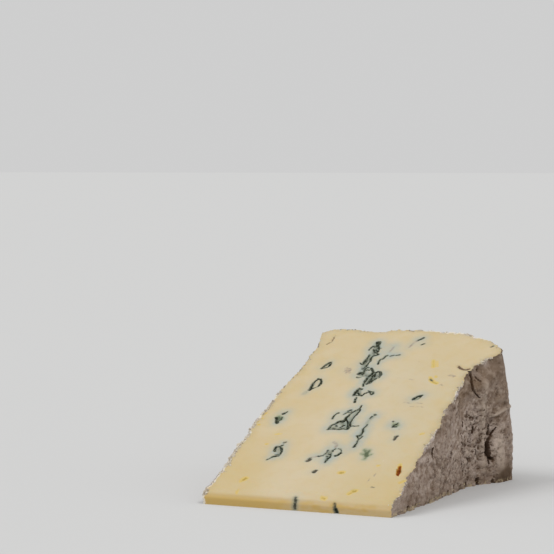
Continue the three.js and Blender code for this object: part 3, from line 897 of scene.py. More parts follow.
    def _insets(self, points: Array, to_rim: Array, to_right: Array) -> Array:
        """Tells how far the upper cut's edge lies inside the wheel's own outline.

        Args:
            points: Rows of x, y, z in the wheel.
            to_rim: 0 on the left face, 1 from the rim on.
            to_right: 0 up to the rim, 1 on the right face.

        Returns:
            Distances in millimetres.
        """
        outward = np.hypot(points[:, 1], points[:, 2])
        left = np.interp(outward, *zip(*self.left_insets))
        rim = np.interp(points[:, 0], *zip(*self.rim_insets))
        right = np.interp(outward, *zip(*self.right_insets))
        return (1.0 - to_rim) * left + to_rim * (1.0 - to_right) * rim + to_right * right


class Patch(Enum):
    """The faces of the wedge, by the number that its mesh's faces carry."""

    UPPER_CUT = 0
    LOWER_CUT = 1
    TIP = 2
    RIND = 3


Faces = list[tuple[Patch, tuple[int, ...]]]


class Graph:
    """Makes the nodes of one tree, sets their inputs and links them."""

    def __init__(self, tree: bpy.types.NodeTree) -> None:
        """Keeps the tree and empties it."""
        self.tree = tree
        tree.nodes.clear()

    def node(self, kind: str, inputs: dict[Any, Any] | None = None, **settings: Any) -> bpy.types.Node:
        """Adds a node.

        Args:
            kind: Blender's name for the node type.
            inputs: Input name or number to a value or to the socket that feeds it.
            **settings: Properties of the node.

        Returns:
            The node.
        """
        made = self.tree.nodes.new(kind)
        for name, value in settings.items():
            setattr(made, name, value)
        for key, value in (inputs or {}).items():
            if isinstance(value, Socket):
                self.tree.links.new(value, made.inputs[key])
            else:
                made.inputs[key].default_value = value
        return made

    def math(self, operation: str, a: Any, b: Any = 0.0, clamp: bool = False) -> Socket:
        """Adds a Math node and gives its result."""
        return self.node("ShaderNodeMath", {0: a, 1: b}, operation=operation, use_clamp=clamp).outputs[0]

    def times(self, a: Any, b: Any) -> Socket:
        """Multiplies two values."""
        return self.math("MULTIPLY", a, b)

    def plus(self, a: Any, b: Any) -> Socket:
        """Adds two values."""
        return self.math("ADD", a, b)

    def minus(self, a: Any, b: Any) -> Socket:
        """Takes the second value from the first."""
        return self.math("SUBTRACT", a, b)

    def larger(self, a: Any, b: Any) -> Socket:
        """Takes the larger of two values."""
        return self.math("MAXIMUM", a, b)

    def scaled(self, vector: Any, amount: Any) -> Socket:
        """Multiplies a vector by a value."""
        return self.node("ShaderNodeVectorMath", {0: vector, 3: amount}, operation="SCALE").outputs[0]

    def absolute(self, a: Any) -> Socket:
        """Takes a value without its sign."""
        return self.math("ABSOLUTE", a)

    def ease(self, value: Any, low: float, high: float, start: float = 0.0, end: float = 1.0) -> Socket:
        """Adds a smooth Map Range from low..high to start..end and gives its result."""
        ends = {"Value": value, "From Min": low, "From Max": high, "To Min": start, "To Max": end}
        return self.node("ShaderNodeMapRange", ends, interpolation_type="SMOOTHSTEP").outputs["Result"]

    def noise(self, vector: Any, length: float, detail: float = 2.0, rough: float = 0.5) -> Socket:
        """Adds a Noise Texture with the given wave length in millimetres and gives its value."""
        inputs = {"Vector": vector, "Scale": 1.0 / (length * MM), "Detail": detail, "Roughness": rough}
        return self.node("ShaderNodeTexNoise", inputs).outputs[0]

    def blend(self, share: Any, a: Any, b: Any, mode: str = "MIX") -> Socket:
        """Adds a colour Mix node and gives its result."""
        made = self.node("ShaderNodeMix", {0: share, 6: a, 7: b}, data_type="RGBA", blend_type=mode)
        return made.outputs[2]

    def attribute(self, name: str) -> Socket:
        """Adds an Attribute node for a number kept on the mesh and gives its value."""
        return self.node("ShaderNodeAttribute", attribute_name=name).outputs["Fac"]

    def stretch(self, vector: Any, scale: Lengths) -> Socket:
        """Adds a Mapping node that scales coordinates and gives its result."""
        return self.node("ShaderNodeMapping", {"Vector": vector, "Scale": scale}).outputs[0]

    def surface(self, height: Any, strength: float, depth: float, inputs: dict[str, Any]) -> None:
        """Adds a Bump node, a Principled shader and the material's output.

        Args:
            height: What the bump follows.
            strength: Strength of the bump.
            depth: Depth of the bump in millimetres.
            inputs: The shader's other inputs.
        """
        bump = self.node("ShaderNodeBump", {"Strength": strength, "Distance": depth * MM, "Height": height})
        shader = self.node("ShaderNodeBsdfPrincipled", {**inputs, "Normal": bump.outputs[0]})
        self.node("ShaderNodeOutputMaterial", {"Surface": shader.outputs[0]})


def new_finish(name: str) -> tuple[bpy.types.Material, Graph, Socket]:
    """Starts a material.

    Args:
        name: The material's name.

    Returns:
        The material, its nodes, and the Object coordinates.
    """
    material = bpy.data.materials.new(name)
    material.use_nodes = True
    graph = Graph(material.node_tree)
    return material, graph, graph.node("ShaderNodeTexCoord").outputs["Object"]


@dataclass(frozen=True)
class PasteFinish:
    """The soft cream-yellow paste with its mould, pits and stains."""

    cream: Colour = (0.636, 0.531, 0.350, 1.0)
    butter: Colour = (0.625, 0.506, 0.306, 1.0)
    straw: Colour = (0.592, 0.444, 0.190, 1.0)
    whey: Colour = (0.594, 0.517, 0.362, 1.0)
    # Painted shade along the paste's edges with the rind
    rind_edge_shade: Colour = (0.470, 0.400, 0.250, 1.0)
    front: Colour = (0.570, 0.390, 0.125, 1.0)
    front_pale: Colour = (0.590, 0.445, 0.235, 1.0)
    stain: Colour = (0.414, 0.448, 0.396, 1.0)
    mould: Colour = (0.170, 0.203, 0.150, 1.0)
    ink: Colour = (0.022, 0.028, 0.013, 1.0)
    green: Colour = (0.085, 0.112, 0.052, 1.0)
    green_pale: Colour = (0.330, 0.360, 0.225, 1.0)
    faint: Colour = (0.320, 0.245, 0.200, 1.0)
    smut: Colour = (0.070, 0.060, 0.036, 1.0)
    pit: Colour = (0.680, 0.500, 0.140, 1.0)
    # Darker centre of the wet pits, partly their own colour and partly painted shade in the pit
    pit_deep: Colour = (0.430, 0.285, 0.050, 1.0)
    honey: Colour = (0.600, 0.300, 0.025, 1.0)
    amber: Colour = (0.300, 0.062, 0.004, 1.0)
    brown: Colour = (0.170, 0.105, 0.060, 1.0)
    chalk: Colour = (0.780, 0.735, 0.650, 1.0)
    roughness: float = 0.48
    mould_roughness: float = 0.8
    subsurface: float = 0.16
    subsurface_radius: Lengths = (1.0, 0.6, 0.28)
    subsurface_scale: float = 0.0020
    specular: float = 0.3
    grain_bump: float = 0.10
    grain_depth: float = 0.4

    def make(self) -> bpy.types.Material:
        """Builds the material.

        Returns:
            The material, reading the cut faces' own attributes.
        """
        material, g, place = new_finish("cut_paste")
        colour = self._ground(g, place)
        under_vein, under_stain = self._underside_veins(g, place)
        colour = g.blend(under_stain, colour, self.stain)
        colour = self._small_marks(g, place, colour)
        drift = g.times(g.minus(g.noise(place, 1.2, 2.0), 0.5), 0.45)
        fuzz = g.times(g.minus(g.noise(place, 0.32, 3.0, 0.65), 0.5), 0.6)
        vein = g.plus(g.attribute("ink"), g.plus(drift, fuzz))
        bloom = g.larger(g.ease(vein, -0.58, 0.06, 0.0, 0.70), g.times(under_vein, 0.8))
        colour = g.blend(bloom, colour, self.mould)
        broken = g.ease(g.noise(place, 0.7, 3.0, 0.6), 0.38, 0.50, 0.25, 1.0)
        dark = g.times(g.ease(vein, -0.18, 0.04), broken)
        threads = g.absolute(g.minus(g.noise(place, 1.5, 3.0, 0.6), 0.5))
        within = g.ease(g.attribute("haze"), 0.25, 0.8)
        threads = g.times(g.ease(threads, 0.05, 0.015, 0.0, 0.8), within)
        dark = g.larger(g.larger(dark, threads), under_vein)
        colour = g.blend(dark, colour, self.ink)
        rough = g.ease(bloom, 0.0, 0.8, self.roughness, self.mould_roughness)
        drag = g.noise(g.stretch(place, (0.12, 1.0, 1.0)), 0.8, 2.0)
        grain = g.plus(g.noise(place, 0.7, 3.0, 0.6), g.times(drag, 0.6))
        fur = g.times(bloom, g.noise(place, 0.3, 2.0))
        grain = g.plus(grain, g.times(fur, 2.0))
        inputs = {
            "Base Color": colour,
            "Roughness": rough,
            "Subsurface Weight": self.subsurface,
            "Subsurface Radius": self.subsurface_radius,
            "Subsurface Scale": self.subsurface_scale,
            "Specular IOR Level": self.specular,
        }
        g.surface(grain, self.grain_bump, self.grain_depth, inputs)
        return material

    def _ground(self, g: Graph, place: Socket) -> Socket:
        """Colours the paste: cream, yellower by the rind and on the tip, pale blue by the veins, with
        painted shade right along its edges with the rind.

        Args:
            g: The material's nodes.
            place: Object coordinates.

        Returns:
            The colour.
        """
        colour = g.blend(g.ease(g.noise(place, 24.0), 0.38, 0.62), self.cream, self.butter)
        across, outward, _ = g.node("ShaderNodeSeparateXYZ", {0: place}).outputs
        cool = g.times(g.ease(across, -0.010, 0.028, 0.0, 0.6), g.ease(outward, 0.034, 0.012))
        colour = g.blend(cool, colour, self.whey)
        curd = g.ease(g.noise(place, 3.2, 3.0), 0.42, 0.75, 0.0, 0.2)
        colour = g.blend(curd, colour, self.straw)
        edge = g.times(g.attribute("near_rind"), g.ease(g.noise(place, 6.0), 0.3, 0.7, 0.25, 0.62))
        colour = g.blend(edge, colour, self.straw)
        # Painted shade: the paste darker within about 3 mm of its edges with the rind
        rim = g.ease(g.attribute("near_rind"), 0.70, 0.98, 0.0, 0.35)
        colour = g.blend(rim, colour, self.rind_edge_shade)
        aside = g.ease(g.absolute(g.plus(across, 0.006)), 0.008, 0.022)
        corner = g.times(aside, g.ease(outward, -0.030, -0.046, 0.0, 0.42))
        colour = g.blend(corner, colour, self.straw)
        strip = g.blend(g.ease(across, -0.022, 0.0, 0.0, 0.8), self.front, self.front_pale)
        bands = g.noise(g.stretch(place, (1.0, 1.0, 2.0)), 7.0, 2.0)
        strip = g.blend(g.ease(bands, 0.42, 0.62), strip, self.front)
        colour = g.blend(g.attribute("front"), colour, strip)
        cloud = g.ease(g.noise(place, 4.0, 4.0, 0.6), 0.25, 0.7, 0.5, 1.0)
        colour = g.blend(g.math("MULTIPLY", g.attribute("stain"), cloud, True), colour, self.stain)
        crumbly = g.plus(g.attribute("fringe"), g.minus(g.noise(place, 1.0, 3.0, 0.7), 0.75))
        crumbly = g.plus(crumbly, g.minus(g.noise(place, 5.0, 1.0), 0.55))
        return g.blend(g.ease(crumbly, 0.05, 0.4, 0.0, 0.85), colour, self.chalk)

    def _small_marks(self, g: Graph, place: Socket, colour: Socket) -> Socket:
        """Lays the green growth, faint smears, wet pits and brown creases over the paste.

        Args:
            g: The material's nodes.
            place: Object coordinates.
            colour: The paste's colour.

        Returns:
            The colour with the marks.
        """
        wobble = g.minus(g.noise(place, 0.8, 3.0, 0.65), 0.5)
        fine = g.times(wobble, 1.1)
        for name, shade, low, high, most in (
            ("green", self.green_pale, -1.0, 0.15, 0.8),
            ("green", self.green, -0.15, 0.65, 0.95),
            ("faint", self.faint, -0.35, 0.30, 0.85),
            ("haze", self.mould, -0.90, 0.70, 0.5),
            ("pit", self.pit, -0.55, 0.20, 0.85),
            # Darker centre of the pits, partly painted shade in the pit
            ("pit", self.pit_deep, 0.20, 0.75, 0.9),
            ("brown", self.brown, -0.12, 0.22, 1.0),
            ("smut", self.mould, -0.60, 0.10, 0.5),
            ("smut", self.smut, -0.25, 0.25, 0.95),
            ("amber", self.honey, -0.40, -0.05, 0.95),
            ("amber", self.amber, -0.20, 0.25, 1.0),
        ):
            share = g.ease(g.plus(g.attribute(name), fine), low, high, 0.0, most)
            colour = g.blend(share, colour, shade)
        return colour

    @staticmethod
    def _underside_veins(g: Graph, place: Socket) -> tuple[Socket, Socket]:
        """Grows veins by noise on the cut face that the wedge lies on.

        Args:
            g: The material's nodes.
            place: Object coordinates.

        Returns:
            The shares of dark mould and of pale stain.
        """
        under = g.attribute("underside")
        patches = g.ease(g.noise(g.stretch(place, (1.6, 0.8, 1.0)), 17.0, 2.0), 0.55, 0.68)
        ridge = g.absolute(g.minus(g.noise(place, 6.0, 4.0, 0.62), 0.5))
        lines = g.ease(ridge, 0.035, 0.012)
        dark = g.times(under, g.times(patches, lines))
        stain = g.times(under, g.times(patches, 0.7))
        return dark, stain


@dataclass(frozen=True)
class RindFinish:
    """The dry, grey-brown, pitted rind with its pale mould fringe, painted shade in its cracks, pits and
    clefts, painted highlights on its crags and ledges, and broad painted shade and light.
    """

    ash: Colour = (0.308, 0.230, 0.182, 1.0)
    stone: Colour = (0.448, 0.355, 0.298, 1.0)
    # Dark brown of the rind's streaks and mottles, and of its painted shade near the floor
    bark_and_base_shade: Colour = (0.180, 0.118, 0.076, 1.0)
    earth: Colour = (0.230, 0.158, 0.103, 1.0)
    # Pale of the painted highlight on crags and ledges, also of the pale flecks low on the rind
    crest: Colour = (0.640, 0.525, 0.425, 1.0)
    # Pale of the rind's pale mottles and of its painted light
    pale_mottle_and_light: Colour = (0.590, 0.490, 0.425, 1.0)
    # Dark of the rind's dark mottles and of its painted shade and painted shadow
    dark_mottle_and_shade: Colour = (0.108, 0.068, 0.041, 1.0)
    # Near-black brown of the painted shade in cracks, pits and clefts
    hollow: Colour = (0.066, 0.030, 0.012, 1.0)
    lilac: Colour = (0.640, 0.570, 0.560, 1.0)
    rack: Colour = (0.560, 0.500, 0.440, 1.0)
    torn: Colour = (0.530, 0.425, 0.270, 1.0)
    roughness: float = 0.9
    specular: float = 0.15
    bump: float = 0.8
    bump_depth: float = 0.9

    def make(self) -> bpy.types.Material:
        """Builds the material.

        Returns:
            The material, reading the rind's own attributes.
        """
        material, g, place = new_finish("grey_rind")
        drawn = g.stretch(place, (1.0, 0.55, 1.0))
        fine = g.noise(place, 0.75, 3.0, 0.7)
        crags = g.noise(drawn, 1.6, 6.0, 0.72)
        streaks = g.noise(g.stretch(place, (1.0, 1.0, 0.3)), 2.4, 3.0, 0.6)
        rugged = g.plus(g.attribute("craggy"), g.minus(g.noise(place, 5.0, 2.0), 0.5))
        rugged = g.ease(rugged, 0.2, 0.75, 0.12, 1.0)
        colour = g.blend(g.ease(g.noise(place, 9.0, 4.0, 0.6), 0.36, 0.66), self.ash, self.stone)
        mottle = g.noise(place, 2.6, 4.0, 0.65)
        patchy = g.noise(drawn, 3.4, 5.0, 0.7)
        along, height_up = g.node("ShaderNodeSeparateXYZ", {0: place}).outputs[1:]
        drift = g.times(g.minus(g.noise(place, 16.0, 3.0), 0.5), 0.06)
        for value, low, high, most, shade in (
            (streaks, 0.50, 0.72, 0.5, self.bark_and_base_shade),
            (fine, 0.52, 0.74, 0.55, self.bark_and_base_shade),
            (fine, 0.46, 0.28, 0.55, self.stone),
            (mottle, 0.50, 0.57, 0.6, self.bark_and_base_shade),
            (mottle, 0.48, 0.41, 0.6, self.stone),
            (patchy, 0.53, 0.62, 0.6, self.pale_mottle_and_light),
            (patchy, 0.44, 0.36, 0.6, self.dark_mottle_and_shade),
            (g.plus(height_up, drift), 0.018, 0.046, 0.9, self.earth),
        ):
            colour = g.blend(g.ease(value, low, high, 0.0, most), colour, shade)
        far = g.times(g.ease(along, 0.010, 0.032), g.ease(height_up, 0.030, 0.044, 0.0, 0.45))
        colour = g.blend(far, colour, self.dark_mottle_and_shade)
        # Painted shade and painted light: the broad tones, broken up by the mottle, darken and pale the
        # right rind
        toned = g.math("GREATER_THAN", g.absolute(g.attribute("tone")), 0.02)
        tone = g.plus(g.attribute("tone"), g.times(g.minus(mottle, 0.5), 0.8))
        tone = g.times(tone, toned)
        colour = g.blend(g.ease(tone, 0.0, -0.8, 0.0, 0.75), colour, self.dark_mottle_and_shade)
        colour = g.blend(g.ease(tone, 0.0, 0.8, 0.0, 0.6), colour, self.pale_mottle_and_light)
        worn = g.ease(g.noise(place, 2.6, 4.0, 0.65), 0.36, 0.60, 0.15, 0.85)
        colour = g.blend(g.times(g.attribute("rack"), worn), colour, self.rack)
        # Painted highlight on the high crags and on the relief's crests and ledges, with pale flecks low on
        # the rind
        pale = g.times(g.ease(crags, 0.53, 0.66), rugged)
        pale = g.larger(pale, g.times(g.attribute("crest"), 0.85))
        flecks = g.ease(g.noise(drawn, 1.3, 4.0, 0.7), 0.56, 0.68, 0.0, 0.9)
        pale = g.larger(pale, g.times(flecks, g.ease(height_up, 0.020, 0.004)))
        colour = g.blend(g.times(pale, 0.8), colour, self.crest)
        # Painted shade: fine cracks, the low crags and the relief's sunken pits and clefts turn near-black
        # brown
        seams = g.absolute(g.minus(g.noise(place, 3.0, 5.0, 0.66), 0.5))
        seams = g.times(g.ease(seams, 0.03, 0.008), g.ease(g.noise(place, 2.2, 2.0), 0.5, 0.6))
        seams = g.times(seams, rugged)
        holes = g.times(g.ease(crags, 0.44, 0.35), rugged)
        sunk = g.plus(g.attribute("hollow"), g.times(g.minus(fine, 0.5), 0.9))
        deep = g.larger(g.larger(seams, holes), g.ease(sunk, 0.2, 0.85))
        colour = g.blend(g.times(deep, 0.88), colour, self.hollow)
        # Painted shade: the rind darker in its lowest 16 mm, most at the floor
        shaded = g.ease(height_up, 0.016, 0.0, 0.0, 0.35)
        colour = g.blend(shaded, colour, self.bark_and_base_shade)
        # Painted shadow: the strongest dark tone, at the low right corner over the floor, darkened further
        colour = g.blend(g.ease(g.attribute("tone"), -0.45, -1.05, 0.0, 0.92), colour, self.dark_mottle_and_shade)
        at_base = g.ease(height_up, 0.0018, 0.0006)
        torn = g.times(g.ease(g.noise(place, 1.8, 3.0), 0.50, 0.60), at_base)
        colour = g.blend(g.times(torn, 0.75), colour, self.torn)
        fringe = g.plus(g.attribute("fringe"), g.minus(g.noise(place, 1.3, 4.0, 0.7), 0.6))
        colour = g.blend(g.ease(fringe, 0.1, 0.55, 0.0, 0.85), colour, self.lilac)
        height = g.plus(g.times(crags, rugged), g.times(fine, 0.35))
        height = g.plus(height, g.times(deep, -0.25))
        inputs = {"Base Color": colour, "Roughness": self.roughness, "Specular IOR Level": self.specular}
        g.surface(height, self.bump, self.bump_depth, inputs)
        return material


@dataclass(frozen=True)
class CrumbFinish:
    """Dry crumbs: white mould, grey rind or yellow paste."""

    name: str
    pale: Colour
    deep: Colour
    roughness: float = 0.85
    specular: float = 0.2
    bump: float = 0.4
    bump_depth: float = 0.2

    def make(self) -> bpy.types.Material:
        """Builds the material.

        Returns:
            The material, with a shade that changes from crumb to crumb.
        """
        material, g, place = new_finish(self.name)
        colour = g.blend(g.ease(g.noise(place, 1.4, 2.0), 0.35, 0.65), self.pale, self.deep)
        inputs = {"Base Color": colour, "Roughness": self.roughness, "Specular IOR Level": self.specular}
        g.surface(g.noise(place, 0.3, 2.0), self.bump, self.bump_depth, inputs)
        return material


def evaluated_copy(piece: Piece) -> None:
    """Turns a piece with a modifier into a plain mesh with the modifier's result.

    Args:
        piece: The piece, whose modifiers are removed.
    """
    graph = bpy.context.evaluated_depsgraph_get()
    mesh = bpy.data.meshes.new_from_object(piece.evaluated_get(graph), depsgraph=graph)
    old = piece.data
    piece.modifiers.clear()
    piece.data = mesh
    bpy.data.meshes.remove(old)


def new_tree(name: str, inputs: dict[str, tuple[str, Any]]) -> bpy.types.NodeTree:
    """Starts a Geometry Nodes tree with named inputs.

    Args:
        name: The tree's name.
        inputs: Input name to its socket type and value.

    Returns:
        The tree.
    """
    tree = bpy.data.node_groups.new(name, "GeometryNodeTree")
    tree.is_modifier = True
    for side in ("INPUT", "OUTPUT"):
        tree.interface.new_socket("Geometry", in_out=side, socket_type="NodeSocketGeometry")
    for label, (kind, _) in inputs.items():
        tree.interface.new_socket(label, in_out="INPUT", socket_type=kind)
    return tree


def apply_tree(piece: Piece, tree: bpy.types.NodeTree, inputs: dict[str, tuple[str, Any]]) -> None:
    """Runs a Geometry Nodes tree on a piece and keeps its result as the piece's mesh.

    Args:
        piece: The object that carries the tree.
        tree: The tree.
        inputs: Input name to its socket type and value.
    """
    modifier = piece.modifiers.new(tree.name, "NODES")
    modifier.node_group = tree
    for socket in tree.interface.items_tree:
        if socket.name in inputs:
            modifier[socket.identifier] = inputs[socket.name][1]
    evaluated_copy(piece)


@dataclass
class Wedge:
    """The wedge itself: a closed mesh with cut faces, veins that open in them, and rind."""

    wheel: Wheel = field(default_factory=Wheel)
    relief: RindRelief = field(default_factory=RindRelief)
    columns: int = 132
    rows: int = 220
    levels: int = 110
    under_step: int = 4
    tip_step: int = 10
    plain_step: int = 2
    edge_band: int = 6
    spread: float = 16.0
    smoothings: int = 6
    rim_blend: float = 14.0
    corner_blend: Point = (20.0, 8.0)
    wave: float = 0.45
    wave_length: float = 26.0
    edge_drop: float = 0.45
    edge_width: float = 1.5
    drop_share: Point = (0.6, 0.8)
    drop_length: float = 4.0
    tip_calm: float = 6.0
    jitter_length: float = 1.6
    vein_jitter: float = 0.25
    pit_jitter: float = 0.15
    tip_jitter: float = 0.2
    opening_jitter: float = 0.6
    mark_range: Point = (-3.0, 1.0)
    mark_wall: Point = (0.2, 0.75)
    opening_floor: float = 0.45
    front_fade: Point = (0.6, 1.1)
    front_reach: float = 3.0
    near_rind: float = 9.0
    fringe_width: float = 0.9
    rind_fringe_width: float = 1.6
    spot_size: float = 2.2
    left_side: float = -10.0
    right_side: float = 25.0
    white_least: float = 0.05
    white_left: Point = (45.0, 85.0)
    white_far: Point = (95.0, 101.0)
    white_far_middle: float = 24.0
    white_far_reach: float = 17.0
    crumb_width: float = 0.7
    crumb_patch: float = 3.5
    crumb_gaps: Point = (-0.15, 0.4)
    tip_clear: float = 0.5
    sparse_end: float = 90.0
    sparse_share: float = 0.45
    flake_end: float = 75.0
    base_height: float = 1.2
    base_spread: float = 0.4
    base_lowest: float = 0.9
    base_right: float = 20.0
    base_share: float = 0.4
    tuft_length: float = 6.0
    tuft_gaps: Point = (0.0, 0.3)
    refine_reaches: tuple[float, ...] = (1.2, 0.65, 0.3)
    refine_edge: float = 0.75
    cleft_reaches: tuple[float, ...] = (0.8, 0.3)
    cleft_depth: float = 0.9
    cleft_base: float = 3.0
    tip_rows: int = 70
    edge_rag: float = 0.3
    edge_rag_size: float = 0.7
    rag_lowest: float = 1.0
    grain_lowest: float = 0.05
    paste_grain: float = 0.04
    paste_grain_size: float = 1.3
    rind_grain: float = 0.2
    rind_grain_size: float = 1.1

    def build(self) -> Piece:
        """Builds and dresses the wedge.

        Returns:
            The finished piece, in place.
        """
        places, patches, values = self._surface()
        piece = self._mesh(places, patches, values)
        self._refine(piece)
        self._carve(piece)
        self._open_veins(piece)
        self._grain(piece)
        self._sharpen(piece)
        return piece

    def _contour(self) -> tuple[Array, Array]:
        """Walks round the rind from the tip's left corner to its right one.

        Returns:
            The column and the row of each step.
        """
        up = np.arange(self.rows + 1)
        over = np.arange(1, self.columns + 1)
        columns = np.concatenate([np.zeros_like(up), over, np.full(self.rows, self.columns)])
        rows = np.concatenate([up, np.full_like(over, self.rows), up[:-1][::-1]])
        return columns, rows

    def _surface(self) -> tuple[Array, Faces, dict[str, Array]]:
        """Works out the wedge's vertices, faces and the numbers that its finishes read.

        Returns:
            Places in the wheel in millimetres, faces by patch, and numbers by name.
        """
        m, n, k = self.columns, self.rows, self.levels
        number = np.full((m + 1, n + 1, k + 1), -1)
        shell = np.zeros(number.shape, bool)
        shell[[0, -1]] = True
        shell[:, [0, -1]] = True
        shell[:, :, [0, -1]] = True
        number[shell] = np.arange(int(shell.sum()))
        i, j, l = np.nonzero(shell)
        x, distance, angle = self.wheel.lattice(2.0 * i / m - 1.0, j / n, l / k)
        places = np.column_stack([x, distance * np.cos(angle), distance * np.sin(angle)])

        columns, rows = self._contour()
        strip = number[columns, rows]
        moved, marks = self._rind_moves(x[strip], distance[strip], angle[strip], places[strip])
        values = {name: np.zeros((len(places),) + value.shape[2:]) for name, value in marks.items()}
        shift = np.zeros_like(places)
        shift[strip.ravel()] = moved.reshape(-1, 3)
        for name, value in marks.items():
            values[name][strip.ravel()] = value.reshape((-1,) + value.shape[2:])
        for level in (0, k):
            self._spread_edges(shift, number[:, :, level], moved[:, level])
        self._spread_tip(shift, number[:, 0, :], moved)
        places = places + shift

        quads = self._faces(number)
        return places, quads, values

    def _rind_moves(
        self, x: Array, distance: Array, angle: Array, places: Array
    ) -> tuple[Array, dict[str, Array]]:
        """Works out how the relief moves the rind.

        Args:
            x: Places across, by step round the rind and level.
            distance: Distances from the axis, likewise.
            angle: Angles about the axis, likewise.
            places: Places in the wheel, likewise.

        Returns:
            The moves, and what the rind keeps: its marks, and each place and direction before the relief.
        """
        steps, levels = x.shape
        run_x, run_d = np.gradient(x, axis=0), np.gradient(distance, axis=0)
        for _ in range(self.smoothings):
            run_x[1:-1] = (run_x[:-2] + 2 * run_x[1:-1] + run_x[2:]) / 4
            run_d[1:-1] = (run_d[:-2] + 2 * run_d[1:-1] + run_d[2:]) / 4
        size = np.hypot(run_x, run_d)
        out_x, out_d = -run_d / size, run_x / size
        outward = np.stack([out_x, out_d * np.cos(angle), out_d * np.sin(angle)], axis=-1)
        step = np.repeat(np.arange(steps), levels)
        corner = self.rows + self.columns
        before, after = self.corner_blend
        to_rim = smooth_step(step, self.rows - self.rim_blend, self.rows + self.rim_blend)
        to_right = smooth_step(step, corner - before, corner + after)
        below = distance * (angle[:, -1:] - angle)
        edge = np.minimum(distance * angle, below)
        marks = self.relief.shape(places.reshape(-1, 3), to_rim, to_right, edge.ravel(), below.ravel())
        marks |= {"to_rim": to_rim, "to_right": to_right, "edge": edge.ravel(), "below": below.ravel()}
        marks = {name: value.reshape(steps, levels) for name, value in marks.items()}
        marks |= {"rest": places, "outward": outward}
        return outward * marks["height"][..., None], marks

    def _near_sides(self) -> list[Array]:
        """Tells how much each column follows the left face and how much the right one."""
        u = np.arange(self.columns + 1) / self.columns * self.wheel.height
        return [(1.0 - smooth_step(gap, 0.0, self.spread))[:, None, None] for gap in (u, u[-1] - u)]

    def _spread_edges(self, shift: Array, grid: Array, moved: Array) -> None:
        """Eases the rind's moves into a cut face, so that its rim follows the rind.

        Args:
            shift: Moves of all vertices, changed in place.
            grid: Vertex numbers of the cut face by column and row.
            moved: Moves along the face's rim.
        """
        m, n = self.columns, self.rows
        left, rim, right = moved[: n + 1], moved[n : n + m + 1], moved[n + m :][::-1]
        to_left, to_right = self._near_sides()
        v = np.arange(n + 1) / n * (self.wheel.radius - self.wheel.tip_y)
        to_rim = (1.0 - smooth_step(v[-1] - v, 0.0, self.spread))[None, :, None]
        blend = to_left * left[None] + to_right * right[None] + to_rim * rim[:, None]
        blend -= to_left * to_rim * rim[0] + to_right * to_rim * rim[-1]
        shift[grid.ravel()] = blend.reshape(-1, 3)

    def _spread_tip(self, shift: Array, grid: Array, moved: Array) -> None:
        """Eases the rind's moves into the blunt tip's face.

        Args:
            shift: Moves of all vertices, changed in place.
            grid: Vertex numbers of the tip's face by column and level.
            moved: Moves of the rind by step and level.
        """
        to_left, to_right = self._near_sides()
        blend = to_left * moved[0][None] + to_right * moved[-1][None]
        shift[grid.ravel()] = blend.reshape(-1, 3)

    def _faces(self, number: Array) -> Faces:
        """Lists the faces, all turned outwards.

        Args:
            number: Vertex numbers by column, row and level.

        Returns:
            Each face's patch and its corners.
        """
        under, tip, plain = self.under_step, self.tip_step, self.plain_step
        band = self.edge_band
        upper = number[:, :, -1]
        sides = [
            (Patch.LOWER_CUT, number[:, :, 0].T, (under, under)),
            (Patch.TIP, number[:, 0, :], (1, tip)),
            (Patch.RIND, number[-1, : self.tip_rows + 1, :], (1, plain)),
            (Patch.RIND, number[-1, self.tip_rows :, :], (1, 1)),
            (Patch.RIND, number[0, :, :].T, (plain, plain)),
            (Patch.RIND, number[:, -1, :].T, (plain, plain)),
            (Patch.UPPER_CUT, upper[band:-band, band:-band], (plain, plain)),
            (Patch.UPPER_CUT, upper[: band + 1], (1, 1)),
            (Patch.UPPER_CUT, upper[-band - 1 :], (1, 1)),
            (Patch.UPPER_CUT, upper[band:-band, : band + 1], (1, 1)),
            (Patch.UPPER_CUT, upper[band:-band, -band - 1 :], (1, 1)),
        ]
        faces = []
        for patch, grid, steps in sides:
            faces += [(patch, face) for face in self._grid_faces(grid, *steps)]
        return faces

    @staticmethod
    def _grid_faces(grid: Array, step_a: int, step_b: int) -> list[tuple[int, ...]]:
        """Lists the faces of a grid, coarser inside than along its border where the steps say so.

        Args:
            grid: Vertex numbers.
            step_a: Fine cells to a face along the first axis.
            step_b: Fine cells to a face along the second axis.

        Returns:
            The corners of each face.
        """
        last_a, last_b = grid.shape[0] - 1, grid.shape[1] - 1
        faces = []
        for a in range(0, last_a, step_a):
            for b in range(0, last_b, step_b):
                a2, b2 = min(a + step_a, last_a), min(b + step_b, last_b)
                low = range(a, a2) if b == 0 else (a,)
                right = range(b, b2) if a2 == last_a else (b,)
                high = range(a2, a, -1) if b2 == last_b else (a2,)
                left = range(b2, b, -1) if a == 0 else (b2,)
                corners = [grid[s, b] for s in low] + [grid[a2, s] for s in right]
                corners += [grid[s, b2] for s in high] + [grid[a, s] for s in left]
                faces.append(tuple(int(c) for c in corners))
        return faces

